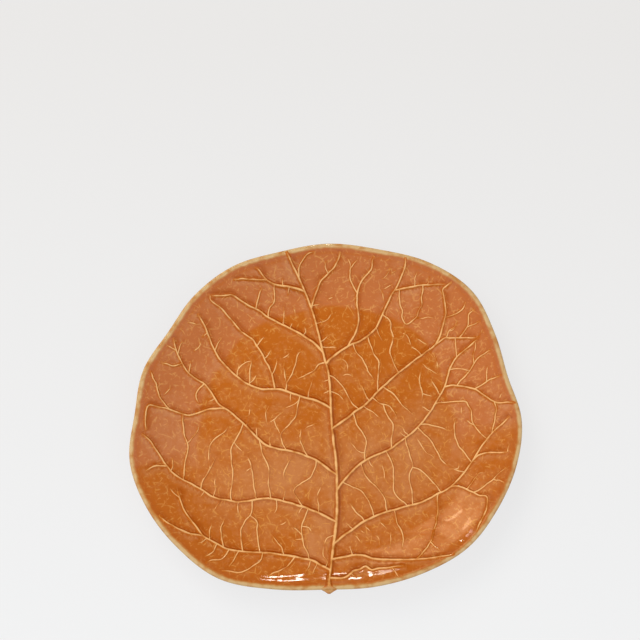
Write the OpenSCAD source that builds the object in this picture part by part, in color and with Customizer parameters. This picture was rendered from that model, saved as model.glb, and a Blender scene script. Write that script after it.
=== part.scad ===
// Leaf-shaped ceramic plate: a dished clay blade with a rounded rim, a foot ring underneath
// and raised veins on its face. X runs across the leaf, +Y points to the leaf's tip, +Z is up.
// The table is at z = 0, and the origin is in the middle of the plate's outline.

/* [Leaf] */
// Overall width across the blade
leaf_w = 280; // [250:1:310]
// Overall length from the end of the stalk to the tip
leaf_l = 256; // [230:1:285]
// Height of the face at the top of the wall, above the table
wall_h = 26; // [20:0.5:34]
// How far the rim dips between its high points
rim_wave = 1.6; // [0:0.1:3]

/* [Clay] */
// Thickness of the clay
clay_t = 5; // [4:0.1:7]
// Width of the rounded rim, from its seam with the blade to its nose
rim_w = 4; // [3:0.1:6]
// Gap under each vein and under the stalk
seat_gap = 0.1; // [0.05:0.01:0.3]

/* [Foot] */
// Outside diameter of the foot ring where it meets the blade
foot_d = 140; // [110:1:160]
// Height of the foot ring
foot_h = 5; // [4.5:0.1:8]
// Width of the foot ring where it meets the blade
foot_root_w = 8; // [6:0.1:12]
// Width of the flat tread that stands on the table
foot_tread_w = 4; // [2:0.1:5.5]
// Flat floor left outside the foot ring
foot_margin = 6; // [2:0.5:12]

/* [Veins] */
// Width of the midrib at the stalk
midrib_root_w = 5.2; // [4:0.1:7]
// Width of the midrib at the tip
midrib_tip_w = 2; // [1.5:0.1:3]
// Width of a side vein at the midrib
vein_root_w = 3.6; // [2.6:0.1:4.5]
// Width of a side vein at its end
vein_tip_w = 1.6; // [1.2:0.1:2.4]
// Width of a fork where it leaves its side vein
fork_root_w = 2.6; // [2:0.1:3.4]
// Width of a fork at its end
fork_tip_w = 1.4; // [1:0.1:2]
// Width of a cross vein
cross_w = 1.6; // [1:0.1:2.2]
// Height of a vein as a share of its width
vein_height_share = 0.32; // [0.2:0.01:0.5]
// Width of the stalk where it crosses the rim
stalk_w = 7; // [5:0.1:9]
// How far the stalk stands out past the rim
stalk_out = 3; // [1:0.1:5]

/* [Hidden] */

glaze_colour = "#C8742F";
vein_colour = "#DDAA6A";
bisque_colour = "#E3CDA6";

// Counts that set how finely the curved shapes are cut
stations = 96;
wall_rings = 9;
nose_steps = 6;
route_steps = 2;
stalk_steps = 6;

// Radius of the leaf's margin every 15 degrees from +X, as a share of its half width or half length
margin_shares = [0.995, 0.96, 0.995, 1.05, 1.045, 1.015, 1.01, 0.988, 0.998, 0.98, 0.95, 0.975,
    0.978, 1.03, 1.043, 1.05, 1.055, 1, 0.965, 0.98, 1, 1.02, 1.007, 1.002];
margin_turn = 360 / len(margin_shares);

// The rim rises and dips this often on its way round, with a high point at wave_start
wave_count = 6;
wave_start = 50;
// How early the wall's curve is steep: 0 is a parabola
wall_ease_share = 0.6;
// Direction of the stalk from the middle of the leaf
stalk_angle = 271;
// Length of the stalk on the face, before it climbs over the rim
stalk_run = 6;
// Gap between the stalk and the foot of the midrib
joint_gap = 0.3;
// Shoulders of a vein's round section, as shares of its half width and its height
shoulder_out_share = 0.62;
shoulder_up_share = 0.78;
// Narrowing and thinning of the stalk at its free end
stalk_end_share = 0.55;
// Thickness of the stalk over the rim, as a share of its width
stalk_thick_share = 0.42;

// Routes of the veins, as shares of half the leaf's width and half its length
midrib_route_shares = [[0.034, -0.82], [0.042, -0.73], [0.058, -0.55], [0.06, -0.4], [0.053, -0.24],
    [0.038, -0.12], [0.027, 0], [0.02, 0.14], [0.008, 0.27], [-0.023, 0.4], [-0.066, 0.585],
    [-0.105, 0.705], [-0.157, 0.825], [-0.22, 0.955]];
tip_fork_route_shares = [[-0.085, 0.65], [-0.076, 0.695], [-0.06, 0.75], [-0.04, 0.805], [0, 0.85],
    [0.03, 0.885], [0.053, 0.925], [0.06, 0.965]];

// Side veins, counted from the stalk upwards
left_vein_routes_shares = [
    [[0.034, -0.852], [-0.027, -0.818], [-0.065, -0.795], [-0.155, -0.775], [-0.27, -0.757],
        [-0.4, -0.753], [-0.483, -0.743], [-0.558, -0.706], [-0.613, -0.67], [-0.657, -0.608],
        [-0.708, -0.538], [-0.737, -0.463], [-0.747, -0.42]],
    [[0.056, -0.57], [0.01, -0.547], [-0.08, -0.503], [-0.155, -0.478], [-0.24, -0.455],
        [-0.31, -0.447], [-0.39, -0.462], [-0.45, -0.468], [-0.51, -0.458], [-0.58, -0.44],
        [-0.632, -0.402], [-0.7, -0.365], [-0.757, -0.334], [-0.808, -0.28], [-0.858, -0.2],
        [-0.91, -0.131], [-0.94, -0.109]],
    [[0.056, -0.308], [0.01, -0.272], [-0.053, -0.225], [-0.143, -0.187], [-0.245, -0.163],
        [-0.304, -0.147], [-0.35, -0.104], [-0.401, -0.05], [-0.45, 0], [-0.5, 0.047],
        [-0.552, 0.085], [-0.598, 0.157], [-0.633, 0.203], [-0.69, 0.237], [-0.73, 0.277],
        [-0.765, 0.345], [-0.787, 0.413], [-0.793, 0.445]],
    [[0.022, 0.075], [-0.035, 0.107], [-0.138, 0.14], [-0.238, 0.176], [-0.3, 0.178], [-0.345, 0.18],
        [-0.42, 0.215], [-0.5, 0.283], [-0.56, 0.355], [-0.6, 0.432], [-0.63, 0.513], [-0.672, 0.592]],
    [[-0.023, 0.4], [-0.06, 0.44], [-0.106, 0.48], [-0.2, 0.538], [-0.295, 0.588], [-0.36, 0.633],
        [-0.43, 0.667], [-0.495, 0.708], [-0.53, 0.703], [-0.61, 0.695]],
    [[-0.125, 0.745], [-0.195, 0.767], [-0.26, 0.774], [-0.32, 0.8], [-0.36, 0.85], [-0.383, 0.86]]];
right_vein_routes_shares = [
    [[0.03, -0.885], [0.098, -0.887], [0.133, -0.867], [0.15, -0.852], [0.18, -0.845], [0.21, -0.828],
        [0.237, -0.85], [0.27, -0.842], [0.372, -0.828], [0.402, -0.825]],
    [[0.04, -0.79], [0.112, -0.771], [0.15, -0.763], [0.19, -0.765], [0.266, -0.786], [0.362, -0.789],
        [0.463, -0.788], [0.562, -0.776], [0.653, -0.76]],
    [[0.047, -0.696], [0.132, -0.622], [0.208, -0.562], [0.305, -0.517], [0.4, -0.485], [0.49, -0.455],
        [0.58, -0.405], [0.638, -0.367], [0.69, -0.31], [0.737, -0.243], [0.783, -0.161],
        [0.84, -0.079], [0.9, -0.016], [0.935, 0.02]],
    [[0.06, -0.39], [0.113, -0.315], [0.177, -0.243], [0.248, -0.197], [0.325, -0.158], [0.4, -0.097],
        [0.465, -0.036], [0.517, 0.035], [0.56, 0.107], [0.607, 0.203], [0.622, 0.262],
        [0.642, 0.325], [0.675, 0.38], [0.735, 0.432], [0.782, 0.465]],
    [[0.032, -0.043], [0.073, -0.01], [0.14, 0.048], [0.2, 0.097], [0.257, 0.165], [0.33, 0.245],
        [0.4, 0.31], [0.478, 0.38], [0.55, 0.44], [0.607, 0.485], [0.632, 0.483], [0.71, 0.487],
        [0.76, 0.5]],
    [[-0.003, 0.33], [0.03, 0.372], [0.11, 0.435], [0.185, 0.478], [0.25, 0.545], [0.287, 0.628],
        [0.322, 0.715], [0.365, 0.793], [0.395, 0.872], [0.4, 0.933]]];

// Forks that leave the side veins
left_fork_routes_shares = [
    [[-0.613, -0.67], [-0.682, -0.66], [-0.725, -0.645], [-0.77, -0.622], [-0.807, -0.595],
        [-0.837, -0.567]],
    [[-0.808, -0.28], [-0.838, -0.28], [-0.862, -0.282], [-0.887, -0.295], [-0.912, -0.318]],
    [[-0.523, 0.062], [-0.587, 0.063], [-0.627, 0.05], [-0.69, 0.022], [-0.735, 0.02], [-0.805, 0.045],
        [-0.85, 0.05], [-0.893, 0.057], [-0.917, 0.04], [-0.92, -0.04], [-0.918, -0.087]],
    [[-0.265, 0.178], [-0.283, 0.252], [-0.297, 0.295], [-0.345, 0.395], [-0.39, 0.468],
        [-0.45, 0.512], [-0.495, 0.567], [-0.55, 0.63], [-0.605, 0.668], [-0.63, 0.682]],
    [[-0.32, 0.8], [-0.4, 0.797], [-0.437, 0.797], [-0.495, 0.79]]];
right_fork_routes_shares = [
    [[0.463, -0.788], [0.494, -0.747], [0.534, -0.685], [0.543, -0.653], [0.552, -0.61],
        [0.565, -0.567], [0.57, -0.525], [0.57, -0.452], [0.577, -0.407]],
    [[0.752, -0.218], [0.775, -0.193], [0.808, -0.183], [0.847, -0.182], [0.885, -0.185],
        [0.922, -0.182]],
    [[0.638, -0.367], [0.677, -0.367], [0.745, -0.403], [0.777, -0.424], [0.815, -0.437],
        [0.813, -0.503], [0.795, -0.552], [0.775, -0.593], [0.76, -0.635]],
    [[0.607, 0.203], [0.66, 0.213], [0.728, 0.197], [0.76, 0.185], [0.79, 0.165], [0.82, 0.135],
        [0.848, 0.114], [0.882, 0.1], [0.922, 0.097], [0.95, 0.094]],
    [[0.562, 0.45], [0.591, 0.522], [0.606, 0.593], [0.61, 0.635], [0.6, 0.715], [0.595, 0.752],
        [0.61, 0.765], [0.64, 0.79]],
    [[0.11, 0.435], [0.14, 0.505], [0.16, 0.585], [0.153, 0.695], [0.152, 0.745], [0.18, 0.818],
        [0.225, 0.87], [0.23, 0.908], [0.237, 0.943]],
    [[0.345, 0.755], [0.413, 0.768], [0.498, 0.779], [0.57, 0.777]]];

// Cross veins that link the side veins and forks
left_cross_routes_shares = [
    [[-0.373, -0.46], [-0.37, -0.5], [-0.38, -0.545], [-0.402, -0.57], [-0.42, -0.612],
        [-0.425, -0.655], [-0.422, -0.703], [-0.413, -0.752]],
    [[-0.38, -0.545], [-0.347, -0.577], [-0.343, -0.62], [-0.34, -0.668], [-0.327, -0.755]],
    [[-0.09, -0.5], [-0.104, -0.557], [-0.117, -0.598], [-0.117, -0.648], [-0.104, -0.703],
        [-0.088, -0.747], [-0.08, -0.792]],
    [[-0.117, -0.648], [-0.142, -0.623], [-0.165, -0.602]],
    [[-0.268, -0.65], [-0.24, -0.697], [-0.215, -0.728], [-0.207, -0.766]],
    [[-0.51, -0.565], [-0.525, -0.62], [-0.52, -0.668], [-0.507, -0.732]],
    [[-0.43, -0.02], [-0.447, -0.08], [-0.472, -0.133], [-0.488, -0.172], [-0.485, -0.222],
        [-0.476, -0.28], [-0.476, -0.337], [-0.482, -0.393], [-0.476, -0.464]],
    [[-0.402, -0.205], [-0.383, -0.258], [-0.373, -0.302], [-0.37, -0.352], [-0.357, -0.415],
        [-0.353, -0.455]],
    [[-0.34, -0.115], [-0.33, -0.18], [-0.312, -0.222], [-0.295, -0.258], [-0.288, -0.31],
        [-0.29, -0.372], [-0.278, -0.45]],
    [[-0.048, -0.228], [-0.06, -0.28], [-0.08, -0.323], [-0.124, -0.357], [-0.16, -0.4],
        [-0.143, -0.443], [-0.115, -0.49]],
    [[-0.178, -0.215], [-0.2, -0.258], [-0.215, -0.302], [-0.21, -0.337]],
    [[-0.505, -0.04], [-0.52, -0.068], [-0.555, -0.097], [-0.587, -0.13], [-0.6, -0.172],
        [-0.597, -0.23]],
    [[-0.56, -0.208], [-0.585, -0.265], [-0.607, -0.315], [-0.625, -0.35], [-0.632, -0.402]],
    [[-0.737, 0.02], [-0.735, -0.05], [-0.722, -0.108], [-0.708, -0.165], [-0.715, -0.222],
        [-0.72, -0.272], [-0.723, -0.352]],
    [[-0.137, 0.14], [-0.15, 0.095], [-0.155, 0.045], [-0.165, 0.01], [-0.2, -0.035], [-0.232, -0.08],
        [-0.228, -0.115], [-0.207, -0.173]],
    [[-0.095, -0.208], [-0.125, -0.137], [-0.135, -0.095]],
    [[-0.21, 0.167], [-0.207, 0.212], [-0.22, 0.262], [-0.226, 0.32]],
    [[-0.207, 0.212], [-0.184, 0.262], [-0.168, 0.313], [-0.15, 0.38], [-0.125, 0.408]],
    [[0, 0.34], [-0.04, 0.328], [-0.067, 0.292], [-0.105, 0.267], [-0.155, 0.24]],
    [[-0.4, 0.205], [-0.4, 0.277], [-0.393, 0.32], [-0.39, 0.357]],
    [[-0.31, 0.597], [-0.305, 0.65], [-0.282, 0.687], [-0.278, 0.782]],
    [[-0.378, 0.642], [-0.36, 0.71], [-0.343, 0.757]],
    [[-0.155, 0.82], [-0.152, 0.882], [-0.127, 0.922], [-0.11, 0.945], [-0.073, 0.96]],
    [[-0.633, 0.203], [-0.67, 0.152], [-0.673, 0.117], [-0.653, 0.085]],
    [[-0.805, 0.045], [-0.855, 0.105], [-0.868, 0.14], [-0.872, 0.18], [-0.893, 0.215], [-0.905, 0.25]],
    [[-0.745, 0.303], [-0.782, 0.293], [-0.808, 0.293], [-0.855, 0.3]],
    [[-0.54, -0.715], [-0.557, -0.753], [-0.58, -0.78], [-0.602, -0.792]],
    [[-0.48, -0.743], [-0.5, -0.785], [-0.527, -0.805], [-0.57, -0.81], [-0.595, -0.83]],
    [[-0.433, -0.75], [-0.46, -0.808], [-0.477, -0.843]],
    [[-0.31, -0.757], [-0.322, -0.803], [-0.36, -0.837], [-0.398, -0.863], [-0.43, -0.875],
        [-0.48, -0.87], [-0.513, -0.868]],
    [[-0.145, -0.777], [-0.18, -0.822], [-0.22, -0.858], [-0.257, -0.873], [-0.282, -0.895]]];
right_cross_routes_shares = [
    [[0.405, -0.094], [0.422, -0.165], [0.438, -0.212], [0.442, -0.255], [0.43, -0.295], [0.43, -0.345],
        [0.44, -0.4], [0.446, -0.469]],
    [[0.442, -0.255], [0.483, -0.273], [0.522, -0.312], [0.553, -0.343], [0.573, -0.375],
        [0.592, -0.4]],
    [[0.31, -0.165], [0.33, -0.215], [0.347, -0.265], [0.347, -0.315], [0.347, -0.387], [0.375, -0.43],
        [0.42, -0.48]],
    [[0.18, -0.243], [0.195, -0.293], [0.23, -0.34], [0.265, -0.378], [0.292, -0.415], [0.304, -0.45],
        [0.317, -0.512]],
    [[0.09, -0.347], [0.138, -0.375], [0.177, -0.39], [0.203, -0.425], [0.228, -0.472], [0.25, -0.542]],
    [[0.125, -0.463], [0.157, -0.513], [0.2, -0.567]],
    [[0.468, -0.033], [0.503, -0.065], [0.535, -0.1], [0.56, -0.143], [0.586, -0.2], [0.606, -0.23],
        [0.632, -0.25]],
    [[0.485, -0.01], [0.522, -0.01], [0.567, -0.022], [0.606, -0.037], [0.625, -0.048]],
    [[0.665, 0.027], [0.658, -0.03], [0.66, -0.08], [0.678, -0.13], [0.703, -0.172], [0.745, -0.23]],
    [[0.563, 0.112], [0.62, 0.118], [0.665, 0.122], [0.71, 0.118], [0.727, 0.1], [0.742, 0.065],
        [0.745, 0.03], [0.76, -0.025], [0.797, -0.077], [0.822, -0.105]],
    [[0.137, 0.045], [0.163, -0.025], [0.195, -0.075], [0.208, -0.115], [0.202, -0.165],
        [0.198, -0.23]],
    [[0.235, 0.138], [0.277, 0.107], [0.308, 0.097], [0.335, 0.075], [0.353, 0.047], [0.366, 0.018]],
    [[0.293, 0.102], [0.3, 0.06], [0.323, 0.02], [0.345, -0.015], [0.342, -0.058], [0.336, -0.094],
        [0.333, -0.152]],
    [[0.29, 0.2], [0.347, 0.157], [0.373, 0.118], [0.405, 0.082], [0.45, 0.042]],
    [[0.478, 0.227], [0.493, 0.175], [0.49, 0.125]],
    [[0.585, 0.157], [0.57, 0.183], [0.55, 0.227], [0.538, 0.25]],
    [[0.13, 0.447], [0.153, 0.4], [0.18, 0.365], [0.206, 0.32], [0.212, 0.29], [0.245, 0.24]],
    [[0.208, 0.5], [0.222, 0.453], [0.24, 0.4], [0.263, 0.358], [0.267, 0.307], [0.265, 0.255],
        [0.262, 0.17]],
    [[0.342, 0.493], [0.33, 0.445], [0.327, 0.41], [0.34, 0.358], [0.356, 0.313], [0.372, 0.283]],
    [[0.285, 0.625], [0.323, 0.585], [0.33, 0.54], [0.336, 0.505]],
    [[0.393, 0.515], [0.41, 0.507], [0.427, 0.467], [0.437, 0.438]],
    [[0.01, 0.26], [0.037, 0.255], [0.063, 0.218], [0.095, 0.18], [0.122, 0.118], [0.165, 0.068]],
    [[0.18, 0.21], [0.2, 0.16], [0.218, 0.118]],
    [[0.352, -0.502], [0.365, -0.57], [0.384, -0.612], [0.396, -0.668], [0.395, -0.7]],
    [[0.752, -0.408], [0.783, -0.388], [0.842, -0.343], [0.872, -0.31], [0.917, -0.268]],
    [[0.722, -0.39], [0.747, -0.338], [0.78, -0.3]],
    [[0.76, 0.185], [0.82, 0.222], [0.855, 0.238], [0.893, 0.255]],
    [[0.672, 0.212], [0.69, 0.242], [0.717, 0.268], [0.74, 0.295], [0.752, 0.33], [0.775, 0.36],
        [0.803, 0.378], [0.84, 0.4]],
    [[0.862, 0.108], [0.87, 0.06], [0.863, 0.017], [0.85, -0.07]],
    [[0.607, 0.597], [0.645, 0.608], [0.677, 0.623], [0.7, 0.645], [0.712, 0.677]],
    [[0.68, 0.487], [0.703, 0.51], [0.722, 0.54], [0.728, 0.575], [0.732, 0.61], [0.76, 0.637]],
    [[0.152, 0.745], [0.133, 0.772], [0.117, 0.812], [0.113, 0.845], [0.114, 0.878], [0.15, 0.92]],
    [[0.49, 0.779], [0.493, 0.745], [0.487, 0.712], [0.488, 0.672], [0.472, 0.64], [0.46, 0.607],
        [0.44, 0.585], [0.41, 0.567], [0.388, 0.6], [0.387, 0.642], [0.375, 0.685], [0.373, 0.74]]];

// A smooth curve through four values, at share t between the second and the third
function between(a, b, c, d, t) =
    (2 * b + (c - a) * t + (2 * a - 5 * b + 4 * c - d) * t * t + (3 * b - a - 3 * c + d) * t * t * t) / 2;

// A list's item, counted round and round
function wrapped(list, i) = list[(i + len(list)) % len(list)];

// Radius of the margin at an angle, in shares
function margin_share(angle) =
    let (turn = ((angle % 360) + 360) % 360 / margin_turn, i = floor(turn))
    between(wrapped(margin_shares, i - 1), wrapped(margin_shares, i), wrapped(margin_shares, i + 1),
        wrapped(margin_shares, i + 2), turn - i);

function direction(angle) = [cos(angle), sin(angle)];
function margin_in_shares(angle) = margin_share(angle) * direction(angle);

// The margin's reach in shares sets the scale, so that leaf_w and leaf_l are true overall sizes
station_angles = [for (i = [0 : stations - 1]) i * 360 / stations];
margin_points = [for (angle = station_angles) margin_in_shares(angle)];
right_share = max([for (p = margin_points) p.x]);
left_share = min([for (p = margin_points) p.x]);
tip_share = max([for (p = margin_points) p.y]);
stalk_share = margin_in_shares(stalk_angle).y;
scale_x = leaf_w / (right_share - left_share);
scale_y = (leaf_l - stalk_out) / (tip_share - stalk_share);
// The middle of the leaf, where the shares are zero
middle = [leaf_w / 2 - right_share * scale_x, leaf_l / 2 - tip_share * scale_y];

function place(shares) = middle + [shares.x * scale_x, shares.y * scale_y];
function shares_of(p) = [(p.x - middle.x) / scale_x, (p.y - middle.y) / scale_y];

// Distance from the middle to the margin, and the least of all
function reach(angle) = norm(place(margin_in_shares(angle)) - middle);
least_reach = min([for (angle = station_angles) reach(angle)]);

// The flat floor takes in the foot ring and its margin, and the wall runs from there to the rim's seam
floor_share = (foot_d / 2 + foot_margin) / least_reach;
floor_z = foot_h + clay_t;
function seam_share(angle) = 1 - rim_w / reach(angle);
function wave(angle) = (1 - cos(wave_count * (angle - wave_start))) / 2;
function rise(angle) = wall_h - rim_wave * wave(angle) - floor_z;
function wall_run(angle) = (seam_share(angle) - floor_share) * reach(angle);

// The wall's curve: height and steepness at a share s of the way up
function wall_curve(s) = s * s * (1 + wall_ease_share - wall_ease_share * s);
function wall_steepness(s) = 2 * (1 + wall_ease_share) * s - 3 * wall_ease_share * s * s;
function face_z(angle, s) = floor_z + rise(angle) * wall_curve(s);
function slope(angle, s) = rise(angle) * wall_steepness(s) / wall_run(angle);
// Thickness of the clay measured straight down through a sloping wall
function clay_down(angle, s) = clay_t * sqrt(1 + slope(angle, s) * slope(angle, s));

// A point of the face and the point below it on the underside
function wall_point(angle, s) =
    place((floor_share + s * (seam_share(angle) - floor_share)) * margin_in_shares(angle));
function on_face(angle, s) = let (p = wall_point(angle, s)) [p.x, p.y, face_z(angle, s)];
function on_underside(angle, s) = on_face(angle, s) - [0, 0, clay_down(angle, s)];

// Where a plan point lies on the face: its angle, and its share of the way up the wall
function wall_place(p) =
    let (
        q = shares_of(p),
        angle = atan2(q.y, q.x),
        along = norm(q) / margin_share(angle)
    )
    [angle, (along - floor_share) / (seam_share(angle) - floor_share)];
// Height of the face at a plan point, and the room left from there to the rim's seam
function face_height(p) = let (at = wall_place(p)) face_z(at[0], max(0, at[1]));
function seam_room(p) = let (at = wall_place(p)) (1 - at[1]) * wall_run(at[0]);

// A point of the rim's round nose: turn 0 is the seam on the face, 180 the seam underneath
function nose_point(angle, turn) =
    let (
        half = clay_down(angle, 1) / 2,
        out = rim_w * sin(turn),
        p = wall_point(angle, 1) + out * direction_out(angle),
        z = face_z(angle, 1) - half + half * cos(turn) + slope(angle, 1) * out
    )
    [p.x, p.y, z];
function direction_out(angle) = let (d = place(margin_in_shares(angle)) - middle) d / norm(d);

// Two triangles between rows a and b of a grid of points, at columns i and j
function quad(a, b, i, j) = [[a + i, b + i, a + j], [a + j, b + i, b + j]];
function next(i) = (i + 1) % stations;

// The dished blade: flat floor, curved wall, and a seam where the rim joins it
module leaf_blade() {
    steps = [for (k = [0 : wall_rings]) k / wall_rings];
    points = [
        for (s = steps) for (angle = station_angles) on_face(angle, s),
        for (s = steps) for (angle = station_angles) on_underside(angle, s)
    ];
    under = (wall_rings + 1) * stations;
    last = wall_rings * stations;
    ring = [for (i = [0 : stations - 1]) i];
    faces = [
        [for (i = [stations - 1 : -1 : 0]) i],
        for (k = [0 : wall_rings - 1]) for (i = ring)
            each quad(k * stations, (k + 1) * stations, next(i), i),
        for (i = ring) each quad(last, under + last, next(i), i),
        for (k = [0 : wall_rings - 1]) for (i = ring)
            each quad(under + k * stations, under + (k + 1) * stations, i, next(i)),
        [for (i = ring) under + i]
    ];
    color(glaze_colour) polyhedron(points, faces);
}

// The rounded rim all the way round the margin
module rim() {
    rows = nose_steps + 1;
    points = [for (j = [0 : nose_steps]) for (angle = station_angles)
        nose_point(angle, j * 180 / nose_steps)];
    faces = [for (j = [0 : rows - 1]) for (i = [0 : stations - 1])
        each quad(j * stations, ((j + 1) % rows) * stations, next(i), i)];
    color(vein_colour) polyhedron(points, faces);
}

// The turned ring that the plate stands on, flush with the flat underside
module foot_ring() {
    root_out = foot_d / 2;
    root_in = root_out - foot_root_w;
    draft = (foot_root_w - foot_tread_w) / 2;
    color(bisque_colour) translate([middle.x, middle.y, 0]) rotate_extrude($fn = stations)
        polygon([[root_in, foot_h], [root_in + draft, 0], [root_out - draft, 0], [root_out, foot_h]]);
}

// A route drawn as a smooth path of plan points
function smooth_path(route, steps) =
    let (p = [for (shares = route) place(shares)], n = len(p))
    [
        for (i = [0 : n - 2]) for (k = [0 : steps - 1])
            between(p[max(i - 1, 0)], p[i], p[i + 1], p[min(i + 2, n - 1)], k / steps),
        p[n - 1]
    ];

// Distance from a plan point to a line between two points, and to a whole path
function to_line(p, a, b) =
    let (d = b - a, t = max(0, min(1, (p - a) * d / (d * d))))
    norm(p - a - t * d);
function to_path(p, path) = min([for (i = [0 : len(path) - 2]) to_line(p, path[i], path[i + 1])]);
// How clear a point is of the rim's seam, and of the flanks of a list of [path, width] veins
function clearance(p, seniors) = min([seam_room(p), for (v = seniors) to_path(p, v[0]) - v[1] / 2]);

// A path cut back at both ends until it is a gap clear of the rim and of the veins that it meets
function cut_back(path, seniors, gap) =
    let (
        room = [for (p = path) clearance(p, seniors)],
        kept = [for (i = [0 : len(path) - 1]) if (room[i] >= gap) i],
        first = kept[0],
        last = kept[len(kept) - 1]
    )
    [
        if (first > 0) cut_point(path, room, first, first - 1, gap),
        for (i = [first : last]) path[i],
        if (last < len(path) - 1) cut_point(path, room, last, last + 1, gap)
    ];
// The point between a kept place i and a dropped place j that is just the gap away
function cut_point(path, room, i, j, gap) =
    path[i] + (path[j] - path[i]) * (room[i] - gap) / (room[i] - room[j]);

// Unit direction across a path at its place i
function across(path, i) =
    let (d = path[min(i + 1, len(path) - 1)] - path[max(i - 1, 0)])
    [-d.y, d.x] / norm(d);

// Width of a vein that narrows evenly along its path
function width_at(path, i, root_w, tip_w) = root_w + (tip_w - root_w) * i / (len(path) - 1);

// A section point of a vein: out and up are shares of its half width and its height
function vein_point(path, i, w, out, up) =
    let (p = path[i] + across(path, i) * out * w / 2)
    [p.x, p.y, face_height(p) + seat_gap + up * w * vein_height_share];

round_section = [[-1, 0], [-shoulder_out_share, shoulder_up_share], [0, 1],
    [shoulder_out_share, shoulder_up_share], [1, 0]];
ridge_section = [[-1, 0], [0, 1], [1, 0]];

// A raised vein along a path on the face
module vein(path, root_w, tip_w, section = round_section) {
    m = len(section);
    n = len(path);
    points = [for (i = [0 : n - 1]) for (q = section)
        vein_point(path, i, width_at(path, i, root_w, tip_w), q.x, q.y)];
    polyhedron(points, tube_faces(n, m));
}

// The faces of a closed tube of n sections with m points each
function tube_faces(n, m) = [
    [for (j = [m - 1 : -1 : 0]) j],
    for (i = [0 : n - 2]) for (j = [0 : m - 1]) each quad(i * m, (i + 1) * m, (j + 1) % m, j),
    [for (j = [0 : m - 1]) (n - 1) * m + j]
];

// The stalk's way out over the rim, the seam that it crosses, and the foot of the midrib behind it
stalk_out_way = direction_out(stalk_angle);
stalk_seam = wall_point(stalk_angle, 1);
midrib_foot = stalk_seam - (stalk_run + joint_gap) * stalk_out_way;

// Each rank of vein, as [path, width], for the veins that run into it
midrib_path = cut_back(concat([midrib_foot], smooth_path(midrib_route_shares, route_steps)), [],
    midrib_tip_w / 2);
midrib_rank = [[midrib_path, midrib_root_w]];
function ranked(routes, w) = [for (route = routes) [smooth_path(route, 1), w]];
function side_rank() = concat(midrib_rank, ranked(left_vein_routes_shares, vein_root_w),
    ranked(right_vein_routes_shares, vein_root_w));
function fork_rank() = concat(side_rank(), ranked(left_fork_routes_shares, fork_root_w),
    ranked(right_fork_routes_shares, fork_root_w), ranked([tip_fork_route_shares], fork_root_w));

module midrib() {
    color(vein_colour) vein(midrib_path, midrib_root_w, midrib_tip_w);
}

module side_vein(route) {
    path = cut_back(smooth_path(route, route_steps), midrib_rank, vein_root_w / 2);
    color(vein_colour) vein(path, vein_root_w, vein_tip_w);
}

module forks(routes) {
    seniors = side_rank();
    color(vein_colour) for (route = routes)
        vein(cut_back(smooth_path(route, route_steps), seniors, fork_root_w / 2), fork_root_w, fork_tip_w);
}

module cross_veins(routes) {
    seniors = fork_rank();
    paths = ranked(routes, cross_w);
    color(vein_colour) for (i = [0 : len(paths) - 1]) {
        elders = concat(seniors, [for (j = [0 : 1 : i - 1]) paths[j]]);
        vein(cut_back(paths[i][0], elders, cross_w / 2), cross_w, cross_w, ridge_section);
    }
}

// The stalk: a round stub that climbs over the rim from the foot of the midrib
module stalk() {
    side = [-stalk_out_way.y, stalk_out_way.x];
    // Distance out from the seam and height of the seat at each section
    seats = [
        [-stalk_run, face_height(stalk_seam - stalk_run * stalk_out_way)],
        for (k = [0 : stalk_steps]) let (turn = k * 90 / stalk_steps)
            [rim_w * sin(turn), nose_point(stalk_angle, turn).z],
        [rim_w + stalk_out, nose_point(stalk_angle, 90).z]
    ];
    last = len(seats) - 1;
    points = [for (i = [0 : last]) for (q = round_section)
        let (
            grown = min(1, (seats[i][0] + stalk_run) / (rim_w + stalk_run)),
            size = i == last ? stalk_end_share : 1,
            w = size * (midrib_root_w + grown * (stalk_w - midrib_root_w)),
            thick_share = vein_height_share + grown * (stalk_thick_share - vein_height_share),
            p = stalk_seam + seats[i][0] * stalk_out_way + side * q.x * w / 2
        )
        [p.x, p.y, seats[i][1] + seat_gap + q.y * w * thick_share]];
    color(vein_colour) polyhedron(points, tube_faces(last + 1, len(round_section)));
}

leaf_blade();
rim();
foot_ring();
stalk();
midrib();
for (i = [0 : len(left_vein_routes_shares) - 1])
    side_vein(left_vein_routes_shares[i]);
for (i = [0 : len(right_vein_routes_shares) - 1])
    side_vein(right_vein_routes_shares[i]);
forks([tip_fork_route_shares]);  // tip_fork
forks(left_fork_routes_shares);  // left_forks
forks(right_fork_routes_shares);  // right_forks
cross_veins(left_cross_routes_shares);  // left_cross_veins
cross_veins(right_cross_routes_shares);  // right_cross_veins
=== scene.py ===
# %% [markdown]
# # A leaf-shaped plate in amber glaze
# The real object is a serving plate pressed from one slab of earthenware in the shape of a broad
# leaf. Raised veins cover its face, and one amber glaze covers everything but the foot. The glaze is
# deep where it pooled and nearly cream where it ran off the veins and the rim.
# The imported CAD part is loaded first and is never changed. The looks are built around it, in the
# same frame and in metres.

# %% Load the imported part
import math

import bpy
import numpy as np
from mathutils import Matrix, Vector, noise
from mathutils.bvhtree import BVHTree


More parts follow.
